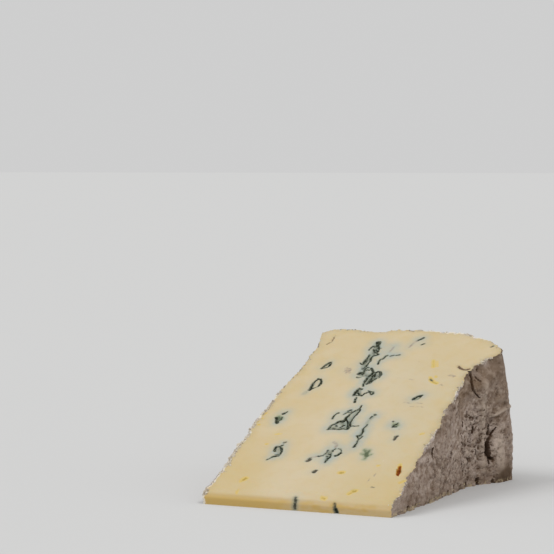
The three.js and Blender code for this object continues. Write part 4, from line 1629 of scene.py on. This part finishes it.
    def _mesh(self, places: Array, faces: Faces, values: dict[str, Array]) -> Piece:
        """Makes the mesh, without the vertices that no face uses.

        Args:
            places: Vertices in the wheel, in millimetres.
            faces: Each face's patch and corners.
            values: Numbers by name for each vertex.

        Returns:
            An object that holds the mesh in the part's frame.
        """
        used = np.unique(np.concatenate([face for _, face in faces]))
        renumber = np.full(len(places), -1)
        renumber[used] = np.arange(len(used))
        moved = (places[used] + self.wheel.axis) * MM
        mesh = bpy.data.meshes.new("cheese_body")
        mesh.from_pydata(moved.tolist(), [], [renumber[list(face)].tolist() for _, face in faces])
        for name, value in values.items():
            kind, key = ("FLOAT_VECTOR", "vector") if value.ndim == 2 else ("FLOAT", "value")
            mesh.attributes.new(name, kind, "POINT").data.foreach_set(key, value[used].ravel())
        patch = mesh.attributes.new("patch", "INT", "FACE")
        patch.data.foreach_set("value", [kind.value for kind, _ in faces])
        return add_object("cheese_body", mesh)

    def _cut_places(self, points: Array) -> Array:
        """Gives the place across and the distance from the axis of vertices of the mesh."""
        local = points / MM - self.wheel.axis
        return np.column_stack([local[:, 0], np.hypot(local[:, 1], local[:, 2])])

    def _refine(self, piece: Piece) -> None:
        """Splits faces along the upper cut's edge, near the veins and near the deep clefts.

        Args:
            piece: The wedge.
        """
        shaped = bmesh.new()
        shaped.from_mesh(piece.data)
        layer = shaped.faces.layers.int["patch"]
        kinds = (Patch.UPPER_CUT.value, Patch.RIND.value)
        line = [edge for edge in shaped.edges if tuple(sorted(f[layer] for f in edge.link_faces)) == kinds]
        tree = kdtree.KDTree(len(line))
        for index, edge in enumerate(line):
            tree.insert((edge.verts[0].co + edge.verts[1].co) / 2, index)
        tree.balance()
        close = [
            face
            for face in shaped.faces
            if face[layer] in kinds and tree.find(face.calc_center_median())[2] < self.refine_edge * MM
        ]
        self._split(shaped, close)
        for step, reach in enumerate(self.refine_reaches):
            chosen_kinds = (INK, SMUT, AMBER) if step else (INK, SMUT, AMBER, GREEN, PIT, BROWN)
            cut = [face for face in shaped.faces if face[layer] == Patch.UPPER_CUT.value]
            middles = self._cut_places(np.array([face.calc_center_median() for face in cut]))
            near = np.zeros(len(cut), bool)
            for mark in CUT_MARKS:
                if mark.growth in chosen_kinds:
                    near |= distance_to_path(middles, mark.path) < mark.width / 2 + reach
            self._split(shaped, [face for face, chosen in zip(cut, near) if chosen])
        for step, reach in enumerate(self.cleft_reaches):
            rind = [face for face in shaped.faces if face[layer] == Patch.RIND.value]
            middles = np.array([face.calc_center_median() for face in rind]) / MM - self.wheel.axis
            near = np.zeros(len(rind), bool)
            for cleft in self._fine_clefts(0.0 if step == 0 else self.cleft_base):
                near |= distance_to_path(middles[:, 1:], cleft.path) < cleft.width / 2 + reach
            near &= middles[:, 0] > 0
            self._split(shaped, [face for face, chosen in zip(rind, near) if chosen])
        shaped.to_mesh(piece.data)
        shaped.free()

    def _fine_clefts(self, lowest: float) -> list[Cleft]:
        """Lists the deep clefts, which need fine faces, from a height on."""
        return [c for c in RIND_CLEFTS if c.depth >= self.cleft_depth and c.path[0][1] > lowest]

    def _carve(self, piece: Piece) -> None:
        """Works out the relief again near the rind's clefts, where the faces were split.

        Args:
            piece: The wedge.
        """
        mesh = piece.data
        count = len(mesh.vertices)
        kept = {name: read(mesh.attributes[name].data, "vector", 3) for name in ("rest", "outward")}
        for name in ("to_rim", "to_right", "edge", "below"):
            kept[name] = read(mesh.attributes[name].data, "value")
        inside = self._vertices_of(mesh, Patch.RIND)
        for patch in (Patch.UPPER_CUT, Patch.LOWER_CUT, Patch.TIP):
            inside &= ~self._vertices_of(mesh, patch)
        near = np.zeros(count, bool)
        for cleft in self._fine_clefts(0.0):
            near |= distance_to_path(kept["rest"][:, 1:], cleft.path) < cleft.width + self.cleft_reaches[0]
        chosen = np.flatnonzero(inside & near & (kept["to_right"] > 0))
        part = {name: value[chosen] for name, value in kept.items()}
        rest, outward = part.pop("rest"), part.pop("outward")
        marks = self.relief.shape(rest, **part)
        points = read(mesh.vertices, "co", 3)
        points[chosen] = (rest + outward * marks["height"][:, None] + self.wheel.axis) * MM
        mesh.vertices.foreach_set("co", points.ravel())
        for name, value in marks.items():
            whole = read(mesh.attributes[name].data, "value")
            whole[chosen] = value
            mesh.attributes[name].data.foreach_set("value", whole)
        for name in (*kept, "height"):
            mesh.attributes.remove(mesh.attributes[name])
        mesh.update()

    @staticmethod
    def _split(shaped: bmesh.types.BMesh, faces: list[bmesh.types.BMFace]) -> None:
        """Splits each of the faces in four, taking their edges in a fixed order."""
        edges = list(dict.fromkeys(edge for face in faces for edge in face.edges))
        bmesh.ops.subdivide_edges(shaped, edges=edges, cuts=1, use_grid_fill=True)

    def _open_veins(self, piece: Piece) -> None:
        """Sinks the veins, pits and waves into the cut faces and keeps their numbers on the mesh.

        Args:
            piece: The wedge.
        """
        mesh = piece.data
        count = len(mesh.vertices)
        points = read(mesh.vertices, "co", 3)
        upper = self._vertices_of(mesh, Patch.UPPER_CUT)
        tip = self._vertices_of(mesh, Patch.TIP)
        lower = self._vertices_of(mesh, Patch.LOWER_CUT)
        rind = self._vertices_of(mesh, Patch.RIND)
        local = points / MM - self.wheel.axis
        cut = self._cut_places(points)
        edge_gap = self._edge_gap(mesh, points, rind)

        values = {growth.value: np.full(count, self.mark_range[0]) for growth in Growth}
        values["stain"] = np.zeros(count)
        depth = np.zeros(count)
        jitter = shifts_at(local, self.jitter_length, (5.0, 15.0))
        lines = tuple(mark for mark in CUT_MARKS if mark.growth is not PIT)
        pits = tuple(mark for mark in CUT_MARKS if mark.growth is PIT)
        self._draw_marks(lines, cut + self.vein_jitter * jitter, upper, values, depth)
        self._draw_marks(pits, cut + self.pit_jitter * jitter, upper, values, depth)
        self._draw_marks(TIP_MARKS, local[:, [0, 2]] + self.tip_jitter * jitter, tip, values, depth)
        self._sink_openings(cut + self.opening_jitter * jitter, upper, depth)
        values["near_rind"] = np.exp(-edge_gap / self.near_rind) * (upper | tip | lower)
        values["underside"] = (lower & ~upper & ~tip).astype(float)
        start, end = (share * self.wheel.tip_height for share in self.front_fade)
        by_tip = local[:, 1] < self.wheel.tip_y + self.front_reach
        values["front"] = (1.0 - smooth_step(local[:, 2], start, end)) * (tip | (upper & by_tip))
        values |= self._edge_values(local, edge_gap, upper, rind)

        angle = self.wheel.cut_angle(cut[:, 0])
        raised = np.column_stack([np.zeros(count), -np.sin(angle), np.cos(angle)])
        flat = np.column_stack([cut, np.zeros(count)])
        waves = self.wave * noise_at(flat, self.wave_length, seed=1.3)
        drop = self.edge_drop * (1.0 - smooth_step(edge_gap, 0.0, self.edge_width))
        least, swing = self.drop_share
        drop *= least + swing * noise_at(local, self.drop_length, seed=2.2)
        inner = smooth_step(cut[:, 1], self.wheel.tip_y, self.wheel.tip_y + self.tip_calm)
        lift = np.where(upper, waves * inner - drop * inner - depth * inner, 0.0)
        back = np.where(tip & ~upper & ~rind, depth, 0.0)
        points += raised * (lift * MM)[:, None]
        points[:, 1] += back * MM
        ragged = self.edge_rag * np.exp(-((edge_gap / self.edge_rag_size) ** 2))
        ragged *= local[:, 2] > self.rag_lowest
        for axis, seed in enumerate((41.0, 52.0, 63.0)):
            points[:, axis] += ragged * noise_at(local, self.edge_rag_size, seed) * MM
        mesh.vertices.foreach_set("co", points.ravel())
        for name, value in values.items():
            mesh.attributes.new(name, "FLOAT", "POINT").data.foreach_set("value", value)
        mesh.update()

    def _edge_values(self, local: Array, edge_gap: Array, upper: Array, rind: Array) -> dict[str, Array]:
        """Works out where white mould and crumbs lie along the edges.

        Args:
            local: Vertices in the wheel, in millimetres.
            edge_gap: Distance of each vertex from the line where a cut meets the rind.
            upper: True for the upper cut's vertices.
            rind: True for the rind's vertices.

        Returns:
            "fringe", "crumbs", "flakes" and "base" from 0 to 1.
        """
        x, y, z = local.T
        on_right = x > self.right_side
        white = self._white_edges(local)
        width = np.where(rind & on_right, self.rind_fringe_width, self.fringe_width)
        fringe = white * np.exp(-((edge_gap / width) ** 2))
        from_spot = np.linalg.norm(local - np.array(LILAC_SPOT), axis=1)
        fringe = np.maximum(fringe, rind * np.exp(-((from_spot / self.spot_size) ** 2)))
        patches = smooth_step(noise_at(local, self.crumb_patch, seed=71.0), *self.crumb_gaps)
        clear = (z > self.base_height) * (y > self.wheel.tip_y + self.tip_clear)
        clear = clear * np.where(on_right & (y < self.sparse_end), self.sparse_share, 1.0)
        crumbs = white * np.exp(-((edge_gap / self.crumb_width) ** 2)) * patches * clear
        base = np.exp(-(((z - self.base_height) / self.base_spread) ** 2)) * (z > self.base_lowest)
        tufts = smooth_step(noise_at(local, self.tuft_length, seed=83.0), *self.tuft_gaps)
        base = base * (rind & ~upper) * tufts * np.where(x > self.base_right, 1.0, self.base_share)
        flakes = crumbs * (x < self.left_side) * (y < self.flake_end)
        return {"fringe": fringe, "crumbs": crumbs, "flakes": flakes, "base": base}

    def _white_edges(self, local: Array) -> Array:
        """Tells how much white mould grows along the upper cut's edges.

        Args:
            local: Vertices in the wheel, in millimetres.

        Returns:
            Numbers from 0 to 1: most on the low left, on the far right and in spots on the right.
        """
        x, y, z = local.T
        by_upper_cut = (x < 0) | (np.arctan2(z, y) > 0.5 * self.wheel.wedge_angle)
        low_left = (x < self.left_side) * (1.0 - smooth_step(y, *self.white_left))
        far = smooth_step(y, *self.white_far)
        far = far * np.exp(-(((x - self.white_far_middle) / self.white_far_reach) ** 4))
        right = np.zeros(len(x))
        for middle, reach, strength in WHITE_SPOTS:
            right += strength * np.exp(-(((y - middle) / reach) ** 2))
        least = np.full(len(x), self.white_least)
        return by_upper_cut * np.maximum.reduce([least, low_left, far, right * (x > self.right_side)])

    @staticmethod
    def _vertices_of(mesh: Mesh, patch: Patch) -> Array:
        """Tells which vertices belong to a patch's faces.

        Args:
            mesh: The wedge's mesh.
            patch: The patch.

        Returns:
            True for each of its vertices.
        """
        kinds = read(mesh.attributes["patch"].data, "value", kind=np.int32)
        totals = read(mesh.polygons, "loop_total", kind=np.int32)
        corners = read(mesh.loops, "vertex_index", kind=np.int32)
        belongs = np.zeros(len(mesh.vertices), bool)
        belongs[corners[np.repeat(kinds, totals) == patch.value]] = True
        return belongs

    @staticmethod
    def _edge_gap(mesh: Mesh, points: Array, rind: Array) -> Array:
        """Measures how far each vertex is from the line where a cut meets the rind.

        Args:
            mesh: The wedge's mesh.
            points: Its vertices.
            rind: True for the rind's vertices.

        Returns:
            Distances in millimetres.
        """
        cut = np.zeros(len(points), bool)
        for patch in (Patch.UPPER_CUT, Patch.LOWER_CUT, Patch.TIP):
            cut |= Wedge._vertices_of(mesh, patch)
        line = np.flatnonzero(rind & cut)
        tree = kdtree.KDTree(len(line))
        for position, index in enumerate(line):
            tree.insert(points[index], position)
        tree.balance()
        return np.array([tree.find(point)[2] for point in points]) / MM

    def _draw_marks(
        self, marks: tuple[Mark, ...], places: Array, on: Array, values: dict[str, Array], depth: Array
    ) -> None:
        """Adds marks to the numbers and depths of a face's vertices.

        Args:
            marks: The marks.
            places: Two coordinates of each vertex on the face.
            on: True for the face's vertices.
            values: Numbers by name, changed in place.
            depth: Depths in millimetres, changed in place.
        """
        inner, outer = self.mark_wall
        for mark in marks:
            gap = np.full(len(places), FAR_OFF)
            gap[on] = distance_to_path(places[on], mark.path)
            name = mark.growth.value
            values[name] = np.maximum(values[name], np.clip(mark.width / 2 - gap, *self.mark_range))
            stain = mark.stain * np.exp(-((gap / mark.reach) ** 2))
            values["stain"] += (1.0 - values["stain"]) * stain
            sunk = mark.depth * (1.0 - smooth_step(gap, inner * mark.width, outer * mark.width))
            np.maximum(depth, sunk, out=depth)

    def _sink_openings(self, places: Array, on: Array, depth: Array) -> None:
        """Deepens the upper cut where the paste is open.

        Args:
            places: Place across and distance from the axis of each vertex.
            on: True for the upper cut's vertices.
            depth: Depths in millimetres, changed in place.
        """
        for opening in CUT_OPENINGS:
            turn = math.radians(opening.turn)
            dx, dr = places[:, 0] - opening.x, places[:, 1] - opening.radius
            along = (dx * math.sin(turn) + dr * math.cos(turn)) / (opening.length / 2)
            across = (dx * math.cos(turn) - dr * math.sin(turn)) / (opening.width / 2)
            inside = 1.0 - smooth_step(np.hypot(along, across), self.opening_floor, 1.0)
            depth += np.where(on, opening.depth * inside, 0.0)

    def _grain(self, piece: Piece) -> None:
        """Roughens the surface by Geometry Nodes and gives each patch its finish.

        Args:
            piece: The wedge.
        """
        inputs = {
            "Paste Grain": ("NodeSocketFloat", self.paste_grain * MM),
            "Paste Grain Size": ("NodeSocketFloat", self.paste_grain_size * MM),
            "Rind Grain": ("NodeSocketFloat", self.rind_grain * MM),
            "Rind Grain Size": ("NodeSocketFloat", self.rind_grain_size * MM),
            "Paste": ("NodeSocketMaterial", PasteFinish().make()),
            "Rind": ("NodeSocketMaterial", RindFinish().make()),
        }
        tree = new_tree("surface_grain", inputs)
        g = Graph(tree)
        given = g.node("NodeGroupInput").outputs
        patch = g.node("GeometryNodeInputNamedAttribute", {"Name": "patch"}, data_type="INT")
        on_rind = g.node(
            "FunctionNodeCompare",
            {2: patch.outputs[0], 3: Patch.RIND.value},
            data_type="INT",
            operation="EQUAL",
        ).outputs[0]
        place = g.node("GeometryNodeInputPosition").outputs[0]
        moves = []
        for kind in ("Paste", "Rind"):
            scale = g.math("DIVIDE", 1.0, given[f"{kind} Grain Size"])
            waves = {"Vector": place, "Scale": scale, "Detail": 3.0}
            grain = g.node("ShaderNodeTexNoise", waves).outputs[0]
            moves.append(g.times(g.minus(grain, 0.5), given[f"{kind} Grain"]))
        amount = g.node("GeometryNodeSwitch", {0: on_rind, 1: moves[0], 2: moves[1]}, input_type="FLOAT")
        normal = g.node("GeometryNodeInputNormal").outputs[0]
        offset = g.scaled(normal, amount.outputs[0])
        height = g.node("ShaderNodeSeparateXYZ", {0: place}).outputs[2]
        lifted = g.math("GREATER_THAN", height, self.grain_lowest * MM)
        moved = {"Geometry": given["Geometry"], "Selection": lifted, "Offset": offset}
        shape = g.node("GeometryNodeSetPosition", moved).outputs[0]
        shape = g.node("GeometryNodeRealizeInstances", {"Geometry": shape}).outputs[0]
        for finish, where in (("Paste", True), ("Rind", on_rind)):
            dressed = {"Geometry": shape, "Selection": where, "Material": given[finish]}
            shape = g.node("GeometryNodeSetMaterial", dressed).outputs[0]
        g.node("NodeGroupOutput", {"Geometry": shape})
        apply_tree(piece, tree, inputs)

    @staticmethod
    def _sharpen(piece: Piece) -> None:
        """Shades the faces smooth, with sharp edges where the patches meet.

        Args:
            piece: The wedge.
        """
        shaped = bmesh.new()
        shaped.from_mesh(piece.data)
        layer = shaped.faces.layers.int["patch"]
        for face in shaped.faces:
            face.smooth = True
        for edge in shaped.edges:
            kinds = {face[layer] for face in edge.link_faces}
            edge.smooth = len(kinds) == 1 or kinds == {Patch.UPPER_CUT.value, Patch.TIP.value}
        shaped.to_mesh(piece.data)
        shaped.free()


@dataclass
class Crumbs:
    """Crumbs that cling to the wedge's edges, scattered over its surface by Geometry Nodes."""

    name: str
    finish: CrumbFinish
    mask: str
    density: float
    smallest: float
    largest: float
    seed: int
    rag_size: float = 0.4
    floor_gap: float = 2.0
    slightest: Lengths = (0.55, 0.55, 0.4)
    fullest: Lengths = (1.5, 1.2, 1.0)

    def build(self, body: Piece) -> Piece:
        """Scatters the crumbs.

        Args:
            body: The wedge, whose mesh carries the mask.

        Returns:
            The crumbs as one piece, in place.
        """
        piece = add_object(self.name, body.data.copy())
        inputs = {
            "Mask": ("NodeSocketString", self.mask),
            "Density": ("NodeSocketFloat", self.density),
            "Smallest": ("NodeSocketFloat", self.smallest * MM),
            "Largest": ("NodeSocketFloat", self.largest * MM),
            "Seed": ("NodeSocketInt", self.seed),
            "Finish": ("NodeSocketMaterial", self.finish.make()),
        }
        tree = new_tree(f"scatter_{self.name}", inputs)
        g = Graph(tree)
        given = g.node("NodeGroupInput").outputs
        seed = given["Seed"]
        mask = g.node("GeometryNodeInputNamedAttribute", {"Name": given["Mask"]}, data_type="FLOAT")
        density = g.times(mask.outputs[0], given["Density"])
        spread = {"Mesh": given["Geometry"], "Density": density, "Seed": seed}
        spots = g.node("GeometryNodeDistributePointsOnFaces", spread).outputs[0]
        sizes = {2: given["Smallest"], 3: given["Largest"], "Seed": seed}
        size = g.node("FunctionNodeRandomValue", sizes, data_type="FLOAT").outputs[1]
        shape = self._random_vector(g, self.slightest, self.fullest, seed)
        scale = g.scaled(shape, size)
        turn = self._random_vector(g, (0.0, 0.0, 0.0), (math.tau, math.tau, math.tau), seed)
        grain = g.node("GeometryNodeMeshIcoSphere", {"Radius": 1.0, "Subdivisions": 1}).outputs[0]
        place = g.node("GeometryNodeInputPosition").outputs[0]
        height = g.node("ShaderNodeSeparateXYZ", {0: place}).outputs[2]
        clear = g.math("GREATER_THAN", height, g.times(given["Largest"], self.floor_gap))
        grains = {"Points": spots, "Selection": clear, "Instance": grain, "Rotation": turn, "Scale": scale}
        placed = g.node("GeometryNodeInstanceOnPoints", grains).outputs[0]
        made = g.node("GeometryNodeRealizeInstances", {"Geometry": placed}).outputs[0]
        waves = {"Vector": place, "Scale": 1.0 / (self.rag_size * MM), "Detail": 2.0}
        ragged = g.node("ShaderNodeTexNoise", waves).outputs[1]
        middle = {0: ragged, 1: (0.5, 0.5, 0.5)}
        ragged = g.node("ShaderNodeVectorMath", middle, operation="SUBTRACT").outputs[0]
        offset = g.scaled(ragged, given["Largest"])
        made = g.node("GeometryNodeSetPosition", {"Geometry": made, "Offset": offset}).outputs[0]
        made = g.node("GeometryNodeSetMaterial", {"Geometry": made, "Material": given["Finish"]}).outputs[0]
        g.node("NodeGroupOutput", {"Geometry": made})
        apply_tree(piece, tree, inputs)
        return piece

    @staticmethod
    def _random_vector(g: Graph, low: Lengths, high: Lengths, seed: Any) -> Socket:
        """Adds a Random Value node for vectors and gives its result."""
        inputs = {0: low, 1: high, "Seed": seed}
        return g.node("FunctionNodeRandomValue", inputs, data_type="FLOAT_VECTOR").outputs[0]


@dataclass
class Studio:
    """Pale floor, soft light and the camera at the photograph's angle."""

    floor_size: float = 60.0
    floor_colour: Colour = (0.640, 0.640, 0.636, 1.0)
    world_colour: Colour = (0.62, 0.62, 0.62, 1.0)
    # Name, the side it shines from, power, and softness in degrees
    lamps: tuple[tuple[str, Lengths, float, float], ...] = (
        ("soft_key", (-0.55, -0.36, 0.76), 0.90, 30.0),
        ("top_fill", (0.52, -0.15, 0.84), 0.66, 8.0),
    )
    sight: Sight = field(default_factory=Sight)
    sensor: float = 36.0
    nearest: float = 0.01
    farthest: float = 100.0

    def build(self) -> None:
        """Makes the floor, the lights and the camera."""
        self._floor()
        self._lights()
        self._camera()
        view = bpy.context.scene.view_settings
        view.view_transform = "Standard"
        view.look = "None"

    def _floor(self) -> None:
        """Lays the floor under the wedge."""
        half = self.floor_size / 2
        corners = [(-half, -half, 0.0), (half, -half, 0.0), (half, half, 0.0), (-half, half, 0.0)]
        mesh = bpy.data.meshes.new("studio_floor")
        mesh.from_pydata(corners, [], [(0, 1, 2, 3)])
        material = bpy.data.materials.new("studio_floor")
        material.use_nodes = True
        g = Graph(material.node_tree)
        shader = g.node("ShaderNodeBsdfDiffuse", {"Color": self.floor_colour}).outputs[0]
        g.node("ShaderNodeOutputMaterial", {"Surface": shader})
        mesh.materials.append(material)
        floor = add_object("studio_floor", mesh)

    def _lights(self) -> None:
        """Lights the room from the upper left and, less, from the right, and fills it with pale light."""
        for name, place, power, softness in self.lamps:
            light = bpy.data.lights.new(name, "SUN")
            light.energy = power
            light.angle = math.radians(softness)
            lamp = add_object(name, light)
            lamp.location = place
            lamp.rotation_mode = "QUATERNION"
            lamp.rotation_quaternion = (-Vector(place)).to_track_quat("-Z", "Y")
        world = bpy.data.worlds.new("studio_room")
        world.use_nodes = True
        g = Graph(world.node_tree)
        room = g.node("ShaderNodeBackground", {"Color": self.world_colour, "Strength": 1.0}).outputs[0]
        g.node("ShaderNodeOutputWorld", {"Surface": room})
        bpy.context.scene.world = world

    def _camera(self) -> None:
        """Sets the camera where the photograph was taken from."""
        data = bpy.data.cameras.new("photo_camera")
        data.sensor_width = self.sensor
        data.lens = self.sensor * self.sight.focal_pixels / self.sight.frame_pixels
        data.clip_start = self.nearest
        data.clip_end = self.farthest
        camera = add_object("photo_camera", data)
        camera.location = Vector((Wheel().axis + self.sight.place) * MM)
        camera.rotation_mode = "QUATERNION"
        camera.rotation_quaternion = Vector(self.sight.ahead).to_track_quat("-Z", "Y")
        bpy.context.scene.camera = camera


WHITE_MOULD = CrumbFinish("white_mould", (0.74, 0.68, 0.57, 1.0), (0.54, 0.47, 0.38, 1.0))
PASTE_CRUMB = CrumbFinish("paste_crumb", (0.62, 0.52, 0.36, 1.0), (0.50, 0.38, 0.20, 1.0))
RIND_DUST = CrumbFinish("rind_dust", (0.40, 0.33, 0.27, 1.0), (0.14, 0.10, 0.07, 1.0))


def main() -> None:
    """Builds the wedge, its crumbs and the studio, and reports each piece."""
    logging.basicConfig(level=logging.INFO, format="%(name)s: %(message)s")
    body = Wedge().build()
    scatters = (
        Crumbs("mould_crumbs", WHITE_MOULD, "crumbs", 3.4e7, 0.10, 0.32, 4),
        Crumbs("mould_flakes", WHITE_MOULD, "flakes", 5.0e6, 0.22, 0.50, 21),
        Crumbs("rind_crumbs", RIND_DUST, "crumbs", 9.0e6, 0.08, 0.28, 9),
        Crumbs("base_crumbs", PASTE_CRUMB, "base", 1.5e6, 0.10, 0.32, 13),
    )
    pieces = [body] + [scatter.build(body) for scatter in scatters]
    for piece in pieces:
        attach(piece, BODY)
        triangles = sum(len(face.vertices) - 2 for face in piece.data.polygons)
        LOG.info("%s: %d triangles", piece.name, triangles)
    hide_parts(NODE)
    Studio().build()


if __name__ == "__main__":
    main()
